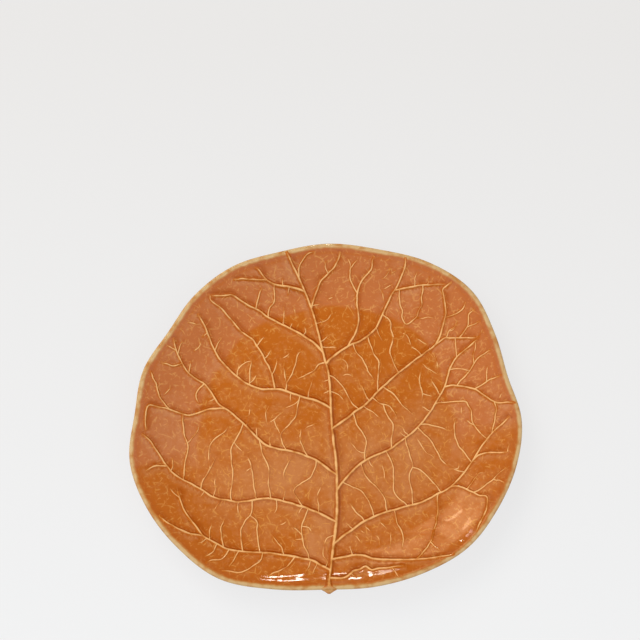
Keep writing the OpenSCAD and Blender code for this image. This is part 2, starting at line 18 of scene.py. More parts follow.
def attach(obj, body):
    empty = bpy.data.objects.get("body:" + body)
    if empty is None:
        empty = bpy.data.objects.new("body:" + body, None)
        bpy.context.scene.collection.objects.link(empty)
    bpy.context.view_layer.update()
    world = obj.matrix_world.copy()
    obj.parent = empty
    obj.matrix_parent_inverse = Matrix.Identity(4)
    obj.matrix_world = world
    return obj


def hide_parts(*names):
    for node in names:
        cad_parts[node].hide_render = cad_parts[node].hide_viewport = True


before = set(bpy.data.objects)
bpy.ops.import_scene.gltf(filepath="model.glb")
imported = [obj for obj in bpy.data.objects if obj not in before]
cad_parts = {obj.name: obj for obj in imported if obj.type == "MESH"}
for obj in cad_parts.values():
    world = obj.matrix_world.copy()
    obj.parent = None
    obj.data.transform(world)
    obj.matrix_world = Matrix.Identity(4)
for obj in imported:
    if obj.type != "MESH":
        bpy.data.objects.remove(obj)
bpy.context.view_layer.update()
MM = 0.001  # the shapes below are worked out in millimetres
scene = bpy.context.scene
scene.view_settings.view_transform = "Standard"

# %% [markdown]
# ## Three small tools
# Node trees, for shapes and for finishes, are made of many small nodes. One function adds a node,
# gives it its settings, and sets or links its inputs. Another empties the tree that a new material
# comes with. Colours are written as the hex values that a paint chart gives, and a third function
# turns them into the linear numbers that shaders use.

# %% Adding a node and reading a colour
def add(tree, kind, *inputs, **settings):
    """Add one node, set its properties, then set or link its inputs.

    Inputs are given in order, or in a dict by name or number. A node given as an input hands on its
    first output. A kind without the word Node is a shader node.
    """
    node = tree.nodes.new(kind if "Node" in kind else "ShaderNode" + kind)
    for key, value in settings.items():
        setattr(node, key, value)
    named = inputs[0] if inputs and isinstance(inputs[0], dict) else dict(enumerate(inputs))
    for key, value in named.items():
        if isinstance(value, bpy.types.Node):
            value = value.outputs[0]
        if isinstance(value, bpy.types.NodeSocket):
            tree.links.new(value, node.inputs[key])
        else:
            node.inputs[key].default_value = value
    return node


def blank_tree(owner):
    owner.use_nodes = True
    owner.node_tree.nodes.clear()
    return owner.node_tree


def colour(code):
    """A hex colour such as C26118, as linear red, green, blue and alpha."""
    parts = [int(code[i : i + 2], 16) / 255 for i in (0, 2, 4)]
    return [c / 12.92 if c <= 0.04045 else ((c + 0.055) / 1.055) ** 2.4 for c in parts] + [1.0]


print("amber in linear numbers:", [round(c, 3) for c in colour("C26118")])

# %% [markdown]
# ## Camera
# The photograph looks almost straight at the face of the plate, from 12 degrees below its axis. The
# plate lies flat here, so the camera stands 78 degrees above the table, 1.5 m away. A long lens
# gives the photograph's scale, and the camera is turned, not shifted, to put the plate low in the
# frame.

# %% Camera at the photograph's angle
PHOTO_PX = 640
PLATE_PX, PLATE_WIDTH = 390, 280 * MM  # the plate's width in the photograph and in the CAD part
WALL_MIDDLE_Z = 20 * MM
plate_px = (327.5, 416.0)  # where the middle of the plate falls in the photograph
plate_middle = Vector((0, 0, WALL_MIDDLE_Z))
camera_away = 1.5
camera_height_angle = math.radians(78)
focal_px = PLATE_PX / PLATE_WIDTH * camera_away
back = Vector((0, -math.cos(camera_height_angle), math.sin(camera_height_angle)))
right, up = Vector((1, 0, 0)), Vector((0, math.sin(camera_height_angle), math.cos(camera_height_angle)))
turn_right = (PHOTO_PX / 2 - plate_px[0]) / focal_px
turn_up = (plate_px[1] - PHOTO_PX / 2) / focal_px
look = -back + right * turn_right + up * turn_up
lens = bpy.data.cameras.new("camera")
lens.sensor_width = 36
lens.lens = focal_px / PHOTO_PX * lens.sensor_width
camera = bpy.data.objects.new("camera", lens)
camera.location = plate_middle + back * camera_away
camera.rotation_euler = look.to_track_quat("-Z", "Y").to_euler()
scene.collection.objects.link(camera)
scene.camera = camera
print("lens in mm:", round(lens.lens, 1))

# %% [markdown]
# ## Table and light
# The plate lies on a pale paper sweep. Light is painted into its colour, which is brighter towards the
# viewer. Part of what the camera sees of it is its own plain colour, so the paper stays pale while it still
# takes the shadow.
# A glossy glaze shows the room around it. Bright walls stand round the table, dimmer near the floor.
# It is dim overhead, where the flat middle of the plate mirrors the room, and on the far side, which
# the lower edge mirrors. So the sloping sides look hazy, and the middle keeps a deep colour. Two soft
# windows and a few narrow bright ones, low on the far side, give the lights on the lower edge.
# The camera itself sees a plain pale backdrop instead of this room.

# %% Paper sweep
BACKDROP = "E8E7E6"
OWN_COLOUR_SHARE = 0.86
HALF_TABLE, TABLE_Z = 6, -0.2 * MM  # half the side in metres, and a hair below the foot
paper = bpy.data.materials.new("matte_paper_sweep")
tree = blank_tree(paper)
place_on_table = add(tree, "TexCoord").outputs["Object"]
depth = add(tree, "SeparateXYZ", place_on_table).outputs["Y"]
# Painted light: the paper's colour grows brighter towards the viewer
towards_viewer = add(tree, "MapRange", depth, 0.3, -0.2)
paper_tones = {0: towards_viewer, 6: colour(BACKDROP), 7: colour("F2F3F4")}
paper_colour = add(tree, "Mix", paper_tones, data_type="RGBA").outputs[2]
lit = add(tree, "BsdfDiffuse", {"Color": paper_colour})
own = add(tree, "Emission", {"Color": paper_colour})
ray = add(tree, "LightPath").outputs
seen = add(tree, "Math", ray["Is Camera Ray"], ray["Is Glossy Ray"], operation="MAXIMUM")
seen = add(tree, "Math", seen, ray["Is Transmission Ray"], operation="MAXIMUM")
share_own = add(tree, "Math", seen, OWN_COLOUR_SHARE, operation="MULTIPLY")
both = add(tree, "MixShader", share_own, lit, own)
add(tree, "OutputMaterial", {"Surface": both})

sheet = bpy.data.meshes.new("table_paper")
sheet_corners = [(x * HALF_TABLE, y * HALF_TABLE, TABLE_Z) for x, y in ((-1, -1), (1, -1), (1, 1), (-1, 1))]
sheet.from_pydata(sheet_corners, [], [(0, 1, 2, 3)])
table = bpy.data.objects.new("table_paper", sheet)
sheet.materials.append(paper)
scene.collection.objects.link(table)
print("table made")

# %% Room light
SMOOTH = {"interpolation_type": "SMOOTHSTEP"}  # for a change that starts and ends gently
MIRRORED_BY_FLOOR = (0, 0.208, 0.978)  # the part of the room that the flat floor mirrors to the camera
FAR_SIDE = (-0.08, 1, 0)
room = bpy.data.worlds.new("studio_room")
scene.world = room
tree = blank_tree(room)
toward = add(tree, "TexCoord").outputs["Generated"]
height = add(tree, "SeparateXYZ", toward).outputs["Z"]
overhead = add(tree, "VectorMath", toward, MIRRORED_BY_FLOOR, operation="DOT_PRODUCT").outputs["Value"]
far_off = add(tree, "VectorMath", toward, FAR_SIDE, operation="DOT_PRODUCT").outputs["Value"]
# What changes the light, from where to where, and the light before and after
changes = ((overhead, 0.968, 0.9936, 1.0, 0.12), (height, 0.4, 0.66, 0.42, 1.0),
           (far_off, 0.22, 0.33, 1.0, 0.17))
level = None
for change in changes:
    part = add(tree, "MapRange", *change, **SMOOTH)
    level = part if level is None else add(tree, "Math", level, part, operation="MULTIPLY")
glow = add(tree, "Background", {"Color": colour("FFFEFC"), "Strength": level})


def pointing(turn, height):
    """A direction: turn in degrees from +Y towards +X, and height in degrees above the table."""
    turn, height = math.radians(turn), math.radians(height)
    return Vector((math.sin(turn) * math.cos(height), math.cos(turn) * math.cos(height), math.sin(height)))


# Soft windows: direction, half size across and upwards as shares of a metre at one metre, and brightness
streaks = add(tree, "TexNoise", {"Vector": toward, "Scale": 22.0, "Detail": 2.0})
streaks = add(tree, "MapRange", streaks, 0.35, 0.65, 0.6, 1.2)
for turn, height, across, tall, bright in ((-34, 44.5, 0.19, 0.1, 3.8), (-14, 36, 0.1, 0.06, 3.0)):
    strength = add(tree, "Math", streaks, bright, operation="MULTIPLY")
    for axis, half in ((pointing(turn + 90, 0), across), (pointing(turn, height + 90), tall)):
        off = add(tree, "VectorMath", toward, axis, operation="DOT_PRODUCT").outputs["Value"]
        off = add(tree, "Math", off, operation="ABSOLUTE")
        part = add(tree, "MapRange", off, 0.5 * half, 1.5 * half, 1.0, 0.0, **SMOOTH)
        strength = add(tree, "Math", strength, part, operation="MULTIPLY")
    way = pointing(turn, height)
    front = add(tree, "VectorMath", toward, way, operation="DOT_PRODUCT").outputs["Value"]
    front = add(tree, "Math", front, 0.0, operation="GREATER_THAN")
    strength = add(tree, "Math", strength, front, operation="MULTIPLY")
    window = add(tree, "Background", {"Color": colour("FFD2A0"), "Strength": strength})
    glow = add(tree, "AddShader", glow, window)
backdrop = add(tree, "Background", {"Color": colour(BACKDROP), "Strength": 1.0})
seen = add(tree, "LightPath").outputs["Is Camera Ray"]
both = add(tree, "MixShader", seen, glow, backdrop)
add(tree, "OutputWorld", {"Surface": both})
print("room light nodes:", len(tree.nodes))

# %% Lamps
def softbox(name, spot, turn, height, width, tall, glow, tint="FFFAF0", away=1.6, glossy=True):
    """A rectangular lamp that faces a spot of the plate, given as x and y in mm, with its brightness."""
    lamp = bpy.data.lights.new(name, "AREA")
    lamp.shape, lamp.size, lamp.size_y = "RECTANGLE", width, tall
    lamp.energy, lamp.color = glow * math.pi * width * tall, colour(tint)[:3]
    stand = bpy.data.objects.new(name, lamp)
    way = pointing(turn, height)
    stand.location = Vector((spot[0] * MM, spot[1] * MM, WALL_MIDDLE_Z)) + way * away
    stand.rotation_euler = (-way).to_track_quat("-Z", "Y").to_euler()
    stand.visible_camera, stand.visible_glossy = False, glossy
    scene.collection.objects.link(stand)
    print(name, "stands", [round(x, 2) for x in stand.location])


softbox("soft_key", (0, 0), -46, 52, 1.4, 1.4, 3.45, "FFFFFF", away=2.0, glossy=False)
softbox("window_edge_pane", (-43, -118), 3.8, 27.8, 0.016, 0.05, 30)
softbox("window_left_pane", (-34, -118), 2.1, 28.2, 0.03, 0.085, 30)
softbox("window_middle_pane", (-26, -118), -0.9, 28.3, 0.083, 0.038, 24)
softbox("window_next_pane", (-19, -118), -3.0, 27.2, 0.032, 0.09, 26)
softbox("low_pane", (31, -117), -8.1, 24.2, 0.02, 0.07, 30)
softbox("dim_pane", (41, -113), -9.9, 23.4, 0.039, 0.06, 8)
softbox("side_window", (98, -89), -30.0, 35.1, 0.02, 0.02, 34)
softbox("side_window_dim", (102, -85), -34.3, 36.1, 0.055, 0.035, 7, "F6E0E0")
softbox("side_window_end", (104, -81), -37.6, 36.9, 0.055, 0.035, 7, "F6E0E0")
softbox("panel_streak", (90, -72), -37, 45, 0.22, 0.024, 6, "FFDCB0")

# %% [markdown]
# ## Glaze
# The finish is a clear amber glaze over pale earthenware, dipped and fired. To the eye it is wet and
# glossy, deep orange where it lies thick, tan and then cream where it ran thin over raised clay. Four
# values stored on the meshes steer it. "thin" is 1 on the crest of a vein and on the nose of the rim.
# The pool value is 1 where the glaze gathered against a vein as a dark line, partly pooled glaze and partly
# painted shade on the vein's upper side. "pale" holds the broad cloudy areas, partly the glaze's own tone
# and partly painted reflection haze, and a painted highlight along the lower side of each vein. "edge" is 1
# at the rim. The rest is drawn with noise in the plate's own coordinates: slow drifts of tone and the short
# broken strokes of the finest veins. A scale of 1000 / 40 makes a pattern of 40 mm.

# %% Glaze tones
glaze = bpy.data.materials.new("amber_glaze_on_earthenware")
tree = blank_tree(glaze)
on_plate = add(tree, "TexCoord").outputs["Object"]
stored = ("thin", "pool", "pale", "edge")
thin, pool, pale, edge = (add(tree, "Attribute", attribute_name=name).outputs["Fac"] for name in stored)

# Slow drifts of tone, about 40 mm across, and a fine mottle of 3 mm
drift = add(tree, "TexNoise", {"Vector": on_plate, "Scale": 1000 / 40, "Detail": 6.0, "Roughness": 0.66,
                               "Distortion": 0.6})
drift = add(tree, "MapRange", drift, 0.34, 0.66, -0.36, 0.36)
mottle = add(tree, "TexNoise", {"Vector": on_plate, "Scale": 1000 / 3, "Detail": 3.0, "Roughness": 0.6})
mottle = add(tree, "MapRange", mottle, 0.3, 0.7, -0.24, 0.24)
cloud_and_haze = add(tree, "Math", drift, mottle, operation="ADD")
# The pale value brings in painted reflection haze and a painted highlight along the lower side of each vein
cloud_and_haze = add(tree, "Math", pale, cloud_and_haze, operation="ADD", use_clamp=True)
tone = add(tree, "Mix", {0: cloud_and_haze, 6: colour("BE661A"), 7: colour("C88049")}, data_type="RGBA").outputs[2]
print("tone nodes:", len(tree.nodes))

# %% The finest veins
# Three nets of 9, 5.5 and 3.4 mm cells, bent by noise and broken into strokes 0.5 mm wide, on the
# upper face only
STROKE_CORE, STROKE_EDGE = 0.12, 0.6  # mm from the middle of a stroke
BEND = 9 * MM
bend = add(tree, "TexNoise", {"Vector": on_plate, "Scale": 1000 / 14, "Detail": 2.0}).outputs["Color"]
bent = add(tree, "VectorMath", bend, (BEND, BEND, 0.0), on_plate, operation="MULTIPLY_ADD")
fleck = None
for cell, gap_size, low, high in ((9.0, 6.5, 0.48, 0.66), (5.5, 4.5, 0.51, 0.69), (3.4, 3.0, 0.53, 0.74)):
    net = add(tree, "TexVoronoi", {"Vector": bent, "Scale": 1000 / cell}, voronoi_dimensions="2D",
              feature="DISTANCE_TO_EDGE").outputs["Distance"]
    net = add(tree, "MapRange", net, STROKE_CORE / cell, STROKE_EDGE / cell, 1.0, 0.0, **SMOOTH)
    broken = add(tree, "TexNoise", {"Vector": on_plate, "Scale": 1000 / gap_size, "Detail": 2.0})
    broken = add(tree, "MapRange", broken, low, high, **SMOOTH)
    strokes = add(tree, "Math", net, broken, operation="MULTIPLY")
    fleck = strokes if fleck is None else add(tree, "Math", fleck, strokes, operation="MAXIMUM")
facing = add(tree, "TexCoord").outputs["Normal"]
facing = add(tree, "SeparateXYZ", facing).outputs["Z"]
on_face = add(tree, "MapRange", facing, 0.1, 0.4, 0.0, 0.58)
fleck_share = add(tree, "Math", fleck, on_face, operation="MULTIPLY")
tone = add(tree, "Mix", {0: fleck_share, 6: tone, 7: colour("E0A050")}, data_type="RGBA").outputs[2]
print("nodes with the finest veins:", len(tree.nodes))

# %% Pooled glaze with painted shade, and thin glaze
# Glaze pooled against the veins with painted shade on their upper side, and a redder band inside the rim
for value, share, tint in ((pool, 0.95, "943A00"), (edge, 0.5, "B25A1C")):
    laid = add(tree, "Math", value, share, operation="MULTIPLY")
    tone = add(tree, "Mix", {0: laid, 6: tone, 7: colour(tint)}, data_type="RGBA").outputs[2]

# Thin glaze: the clay shows through it, first tan and then cream, a little unevenly, and greyer at the rim
uneven = add(tree, "TexNoise", {"Vector": on_plate, "Scale": 1000 / 6, "Detail": 3.0})
uneven = add(tree, "MapRange", uneven, 0.3, 0.7, 0.78, 1.08)
bare = add(tree, "Math", thin, uneven, operation="MULTIPLY", use_clamp=True)
for low, high, on_vein, on_rim in ((0.54, 0.78, "D08B45", "BF8444"), (0.74, 0.96, "F0BB7B", "D2AF7A")):
    shown = add(tree, "MapRange", bare, low, high, **SMOOTH)
    clay_tones = {0: edge, 6: colour(on_vein), 7: colour(on_rim)}
    through = add(tree, "Mix", clay_tones, data_type="RGBA").outputs[2]
    tone = add(tree, "Mix", {0: shown, 6: tone, 7: through}, data_type="RGBA").outputs[2]
print("nodes with pools and thin glaze:", len(tree.nodes))

# %% Relief and gloss
# Relief too fine for the mesh: the flecks stand up a little, and the surface ripples every 8 mm
ripple = add(tree, "TexNoise", {"Vector": on_plate, "Scale": 1000 / 8, "Detail": 0.0})
relief = add(tree, "Math", fleck, 0.04, ripple, operation="MULTIPLY_ADD")
bump = add(tree, "Bump", {"Strength": 0.16, "Distance": 0.3 * MM, "Height": relief})
gloss = add(tree, "MapRange", {0: broken, 3: 0.03, 4: 0.06})

# The narrow flanks of the veins and the pools at their feet mirror less of the room than the open face
flank = add(tree, "MapRange", thin, 0.01, 0.12, **SMOOTH)
below_crest = add(tree, "MapRange", thin, 0.55, 0.8, 1.0, 0.0)
flank = add(tree, "Math", flank, below_crest, operation="MULTIPLY")
pooled_and_shaded = add(tree, "Math", pool, 1.6, operation="MULTIPLY", use_clamp=True)
flank = add(tree, "Math", flank, pooled_and_shaded, operation="MAXIMUM")
off_rim = add(tree, "Math", 1.0, edge, operation="SUBTRACT")
flank = add(tree, "Math", flank, off_rim, operation="MULTIPLY")
mirroring = add(tree, "MapRange", {0: flank, 3: 0.5, 4: 0.1})
coat = add(tree, "BsdfPrincipled", {"Base Color": tone, "Roughness": gloss, "IOR": 1.5,
                                    "Specular IOR Level": mirroring, "Normal": bump})
add(tree, "OutputMaterial", {"Surface": coat})
print("glaze nodes:", len(tree.nodes))

# %% [markdown]
# ## Bare clay
# The foot is wiped clean before the firing so that it doesn't stick to the kiln shelf. What shows is
# dry, pale, slightly sandy earthenware, with the glaze ending in an uneven line on the ring's sides.

# %% Bare clay material
clay = bpy.data.materials.new("bare_fired_earthenware")
tree = blank_tree(clay)
on_plate = add(tree, "TexCoord").outputs["Object"]
height = add(tree, "SeparateXYZ", on_plate).outputs["Z"]
sand = add(tree, "TexNoise", {"Vector": on_plate, "Scale": 1000 / 0.9, "Detail": 3.0})
grit = add(tree, "MapRange", sand, 0.35, 0.7)
body = add(tree, "Mix", {0: grit, 6: colour("D8BE93"), 7: colour("EAD7B4")}, data_type="RGBA").outputs[2]
wave = add(tree, "TexNoise", {"Vector": on_plate, "Scale": 1000 / 18, "Detail": 2.0})
glaze_line = add(tree, "Math", wave, -2.6 * MM, height, operation="MULTIPLY_ADD")
glazed = add(tree, "MapRange", glaze_line, 1.6 * MM, 2.0 * MM, **SMOOTH)
body = add(tree, "Mix", {0: glazed, 6: body, 7: colour("BD5C14")}, data_type="RGBA").outputs[2]
dry = add(tree, "MapRange", {0: glazed, 3: 0.85, 4: 0.14})
bump = add(tree, "Bump", {"Strength": 0.3, "Distance": 0.1 * MM, "Height": sand})
surface = add(tree, "BsdfPrincipled", {"Base Color": body, "Roughness": dry, "IOR": 1.5, "Normal": bump})
add(tree, "OutputMaterial", {"Surface": surface})
print("clay nodes:", len(tree.nodes))

# %% [markdown]
# ## The leaf's rule
# The plate's shape follows a rule, the same one as in the CAD part. The outline is a smooth closed
# curve through 24 radii. Inside it lies a flat floor, then a wall that starts level and steepens,
# and last a round rim that rises and dips six times on its way round. The rule is written as
# functions of the direction from the middle, so any number of points can be taken from it.

# %% Outline
LEAF_W, LEAF_L, WALL_H = 280.0, 256.0, 26.0
RIM_WAVE, RIM_WAVES, RIM_CREST_ANGLE = 1.6, 6, 50  # depth in mm, count, and where one wave is highest
CLAY_T, RIM_W, FOOT_D, FOOT_H, FOOT_MARGIN = 5.0, 4.0, 140.0, 5.0, 6.0
STALK_ANGLE, STALK_OUT = 271.0, 3.0
margin_shares = np.array([0.995, 0.96, 0.995, 1.05, 1.045, 1.015, 1.01, 0.988, 0.998, 0.98, 0.95, 0.975,
                          0.978, 1.03, 1.043, 1.05, 1.055, 1, 0.965, 0.98, 1, 1.02, 1.007, 1.002])
RADII = len(margin_shares)


def between(a, b, c, d, t):
    """A smooth curve through four values, at share t between the second and the third."""
    return (2 * b + (c - a) * t + (2 * a - 5 * b + 4 * c - d) * t**2 + (3 * b - a - 3 * c + d) * t**3) / 2


def ease(x):
    x = np.clip(x, 0, 1)
    return x * x * (3 - 2 * x)


def margin_share(angle):
    turn = np.mod(angle, 360) / (360 / RADII)
    i = np.floor(turn).astype(int)
    return between(*(margin_shares[(i + k) % RADII] for k in (-1, 0, 1, 2)), turn - i)


def heading(angle):
    return np.stack([np.cos(np.radians(angle)), np.sin(np.radians(angle))], -1)


def margin(angle):
    return margin_share(angle)[..., None] * heading(angle)


STATIONS = 480
around = np.arange(STATIONS) * (360 / STATIONS)
tip, foot_of_leaf = margin(around).max(0), margin(around).min(0)
stalk_share = margin(np.array(STALK_ANGLE))[1]
scale = np.array([LEAF_W / (tip[0] - foot_of_leaf[0]), (LEAF_L - STALK_OUT) / (tip[1] - stalk_share)])
middle = np.array([LEAF_W, LEAF_L]) / 2 - tip * scale
print("middle of the leaf in mm:", middle.round(3))

# %% Floor and wall
def reach(angle):
    return np.linalg.norm(margin(angle) * scale, axis=-1)


floor_z = FOOT_H + CLAY_T
floor_share = (FOOT_D / 2 + FOOT_MARGIN) / reach(around).min()


def seam_share(angle):
    return 1 - RIM_W / reach(angle)


def rise(angle):
    wave = 1 - np.cos(np.radians(RIM_WAVES * (angle - RIM_CREST_ANGLE)))
    return WALL_H - RIM_WAVE * wave / 2 - floor_z


def wall_run(angle):
    return (seam_share(angle) - floor_share) * reach(angle)


def face_z(angle, s):
    """Height of the face: s is 0 at the foot of the wall and 1 at the seam of the rim."""
    s = np.maximum(s, 0)
    return floor_z + rise(angle) * s * s * (1.6 - 0.6 * s)


def slope(angle, s):
    return rise(angle) * (3.2 * s - 1.8 * s * s) / wall_run(angle)


def clay_down(angle, s):
    return CLAY_T * np.sqrt(1 + slope(angle, s) ** 2)


print("floor share:", round(floor_share, 3))

# %% [markdown]
# ## Blade and rim
# A leaf-shaped dish could be modelled from a lattice or a cloth, but the rule already gives every
# point. So the skin is laid in rings: from the middle of the floor out over the wall, round the nose
# of the rim, and back underneath. The blade and the rim are two closed pieces that meet at the seam.
# Clay pressed by hand is never quite even, so the face swells and sinks by a fifth of a millimetre.
# A thumb left a swelling beside the stalk, and a finger drew a shallow hollow inside the lower rim.

# %% Rings of points
THUMB_SPOT, THUMB_SIZE, THUMB_HEIGHT = (14.0, -104.0), (10.0, 8.0), 0.6
SWELL, SWELL_SIZE, RIPPLE, RIPPLE_SIZE = 0.2, 27, 0.06, 13
# The hollow's middle and half its width are shares of the wall, and it runs round 57 degrees either way
HOLLOW_ANGLE, HOLLOW_ENDS, HOLLOW_FADE = 292, 0.545, 0.162
to_right, to_left = ease((around - 285) / 25), ease((270 - around) / 20)
hollow_at = 0.78 + 0.11 * to_right + 0.07 * to_left
hollow_half = 0.16 - 0.05 * to_right - 0.01 * to_left
hollow_depth = 0.35 - 0.17 * to_right
hollow_depth = hollow_depth * ease((np.cos(np.radians(around - HOLLOW_ANGLE)) - HOLLOW_ENDS) / HOLLOW_FADE)


def wander(xy, size, layer):
    """Smooth noise between -1 and 1 at points in mm, with bumps of about the given size."""
    return np.array([noise.noise((x / size, y / size, layer)) for x, y in xy])


def ring_on_face(s):
    """A ring across the wall at share s, or across the floor where s is below zero."""
    share = floor_share + s * (seam_share(around) - floor_share) if s >= 0 else floor_share * (1 + s)
    xy = middle + np.broadcast_to(share, around.shape)[:, None] * margin(around) * scale
    swell = SWELL * wander(xy, SWELL_SIZE, 0.4) + RIPPLE * wander(xy, RIPPLE_SIZE, 5.2)
    thumbed = THUMB_HEIGHT * np.exp(-(((xy - THUMB_SPOT) / THUMB_SIZE) ** 2).sum(1))
    across = np.minimum(np.abs(s - hollow_at) / hollow_half, 1)
    thumbed -= hollow_depth * np.cos(across * math.pi / 2) ** 2
    return np.column_stack([xy, face_z(around, s) + swell * (1 - max(s, 0) ** 4) + thumbed])


def ring_underneath(s):
    ring = ring_on_face(s)
    ring[:, 2] = face_z(around, s) - clay_down(around, max(s, 0))
    return ring


def ring_on_nose(turn):
    """Turn 0 is the seam on the face, 90 the outermost edge, 180 the seam underneath."""
    out, half = RIM_W * math.sin(math.radians(turn)), clay_down(around, 1) / 2
    xy = ring_on_face(1)[:, :2] + out * (margin(around) * scale) / reach(around)[:, None]
    z = face_z(around, 1) - half + half * math.cos(math.radians(turn)) + slope(around, 1) * out
    return np.column_stack([xy, z])


print("hollow in mm, at its deepest:", round(float(hollow_depth.max()), 2))

# %% Blade and rim
SHARP_ANGLE = math.radians(50)


def skin(name, rings, endless=False):
    """A mesh of quads between neighbouring rings, in metres. A ring of one point closes it."""
    starts = np.cumsum([0] + [len(r) for r in rings])
    faces = []
    for i in range(len(rings) if endless else len(rings) - 1):
        j = (i + 1) % len(rings)
        a, b, this, that = len(rings[i]), len(rings[j]), starts[i], starts[j]
        for k in range(max(a, b)):
            corner = [this + k % a, that + k % b, that + (k + 1) % b, this + (k + 1) % a]
            faces.append(tuple(dict.fromkeys(int(c) for c in corner)))
    mesh = bpy.data.meshes.new(name)
    mesh.from_pydata((np.concatenate(rings) * MM).tolist(), [], faces)
    mesh.shade_smooth()
    mesh.set_sharp_from_angle(angle=SHARP_ANGLE)
    return mesh


floor_steps = np.linspace(-1, 0, 44)[1:-1]
wall_steps = np.linspace(0, 1, 34)
nose_turns = [0, 3, 7, 12, 18, 26, 35, 45, 57, 70, 83, 96, 110, 124, 138, 150, 160, 168, 174, 178, 180]
face_rings = [ring_on_face(-1)[:1]] + [ring_on_face(s) for s in [*floor_steps, *wall_steps]]
under_rings = [ring_underneath(s) for s in [*wall_steps[::-2], *floor_steps[::-4]]]
under_rings.append(ring_underneath(-1)[:1])
nose_rings = [ring_on_nose(turn) for turn in nose_turns]
upper_nose = nose_rings[1:11]  # nearly to the outermost edge
blade_mesh = skin("leaf_blade_glazed", face_rings + under_rings)
rim_mesh = skin("rim_glazed", nose_rings, endless=True)
guide = bpy.data.objects.new("face_guide", skin("face_guide", face_rings + upper_nose))
scene.collection.objects.link(guide)
print("blade faces:", len(blade_mesh.polygons), "rim faces:", len(rim_mesh.polygons))

# %% [markdown]
# ## Routes of the veins
# The veins are what makes the plate a leaf, so each one is laid along its own listed route. A route lists x
# and y by turns, in thousandths of half the leaf's width and half its length. The veins come in ranks: the
# midrib, the side veins counted from the stalk, the forks that leave them, the cross veins that link them,
# and short twigs.

# %% Midrib and tip fork
# The midrib starts where it runs out over the rim
midrib_route_shares = [22, -945, 34, -820, 42, -730, 58, -550, 60, -400, 53, -240, 38, -120, 27, 0,
    20, 140, 8, 270, -23, 400, -66, 585, -105, 705, -157, 825, -220, 955]
tip_fork_route_shares = [-85, 650, -76, 695, -60, 750, -40, 805, 0, 850, 30, 885, 53, 925, 60, 965]
print("midrib points:", len(midrib_route_shares) // 2)

# %% Side veins
left_vein_routes_shares = [
    [34, -852, -27, -818, -65, -795, -155, -775, -270, -757, -400, -753, -483, -743, -558, -706,
     -613, -670, -657, -608, -708, -538, -737, -463, -747, -420],
    [56, -570, 10, -547, -80, -503, -155, -478, -240, -455, -310, -447, -390, -462, -450, -468,
     -510, -458, -580, -440, -632, -402, -700, -365, -757, -334, -808, -280, -858, -200, -910, -131,
     -940, -109],
    [56, -308, 10, -272, -53, -225, -143, -187, -245, -163, -304, -147, -350, -104, -401, -50, -450, 0,
     -500, 47, -552, 85, -598, 157, -633, 203, -690, 237, -730, 277, -765, 345, -787, 413, -793, 445],
    [22, 75, -35, 107, -138, 140, -238, 176, -300, 178, -345, 180, -420, 215, -500, 283, -560, 355,
     -600, 432, -630, 513, -672, 592],
    [-23, 400, -60, 440, -106, 480, -200, 538, -295, 588, -360, 633, -430, 667, -495, 708, -530, 703,
     -610, 695],
    [-125, 745, -195, 767, -260, 774, -320, 800, -360, 850, -383, 860]]
right_vein_routes_shares = [
    [30, -895, 98, -897, 133, -870, 150, -852, 180, -845, 210, -828, 237, -850, 270, -842, 372, -828,
     402, -825],
    [40, -790, 112, -771, 150, -763, 190, -765, 266, -786, 362, -789, 463, -788, 562, -776, 653, -760],
    [47, -696, 132, -622, 208, -562, 305, -517, 400, -485, 490, -455, 580, -405, 638, -367, 690, -310,
     737, -243, 783, -161, 840, -79, 900, -16, 935, 20],
    [60, -390, 113, -315, 177, -243, 248, -197, 325, -158, 400, -97, 465, -36, 517, 35, 560, 107,
     607, 203, 622, 262, 642, 325, 675, 380, 735, 432, 782, 478],
    [32, -43, 73, -10, 140, 48, 200, 97, 257, 165, 330, 245, 400, 310, 478, 380, 550, 440, 607, 485,
     632, 483, 710, 478, 780, 475],
    [-3, 330, 30, 372, 110, 435, 185, 478, 250, 545, 287, 628, 322, 715, 365, 793, 395, 872, 400, 933]]
print("side veins:", len(left_vein_routes_shares), "and", len(right_vein_routes_shares))

# %% Forks
left_fork_routes_shares = [
    [-613, -670, -682, -660, -725, -645, -770, -622, -807, -595, -837, -567],
    [-808, -280, -838, -280, -862, -282, -887, -295, -912, -318],
    [-523, 62, -587, 63, -627, 50, -690, 22, -735, 20, -805, 45, -850, 50, -893, 57, -917, 40, -920, -40,
     -918, -87],
    [-265, 178, -283, 252, -297, 295, -345, 395, -390, 468, -450, 512, -495, 567, -550, 630, -605, 668,
     -630, 700],
    [-320, 800, -400, 797, -437, 797, -495, 790]]
right_fork_routes_shares = [
    [463, -788, 494, -747, 534, -685, 543, -653, 552, -610, 565, -567, 570, -525, 570, -452, 577, -407],
    [752, -218, 775, -193, 808, -183, 847, -182, 885, -185, 922, -182],
    [638, -367, 677, -367, 745, -403, 777, -424, 815, -437, 813, -503, 795, -552, 775, -593, 760, -635],
    [607, 203, 660, 213, 728, 197, 760, 185, 790, 165, 820, 135, 848, 114, 882, 100, 922, 97, 965, 93],
    [562, 450, 591, 522, 606, 593, 610, 635, 600, 715, 595, 752, 610, 765, 640, 790],
    [110, 435, 140, 505, 160, 585, 153, 695, 152, 745, 180, 818, 225, 870, 230, 908, 237, 943],
    [345, 755, 413, 768, 498, 779, 607, 778]]
print("forks:", len(left_fork_routes_shares), "and", len(right_fork_routes_shares))

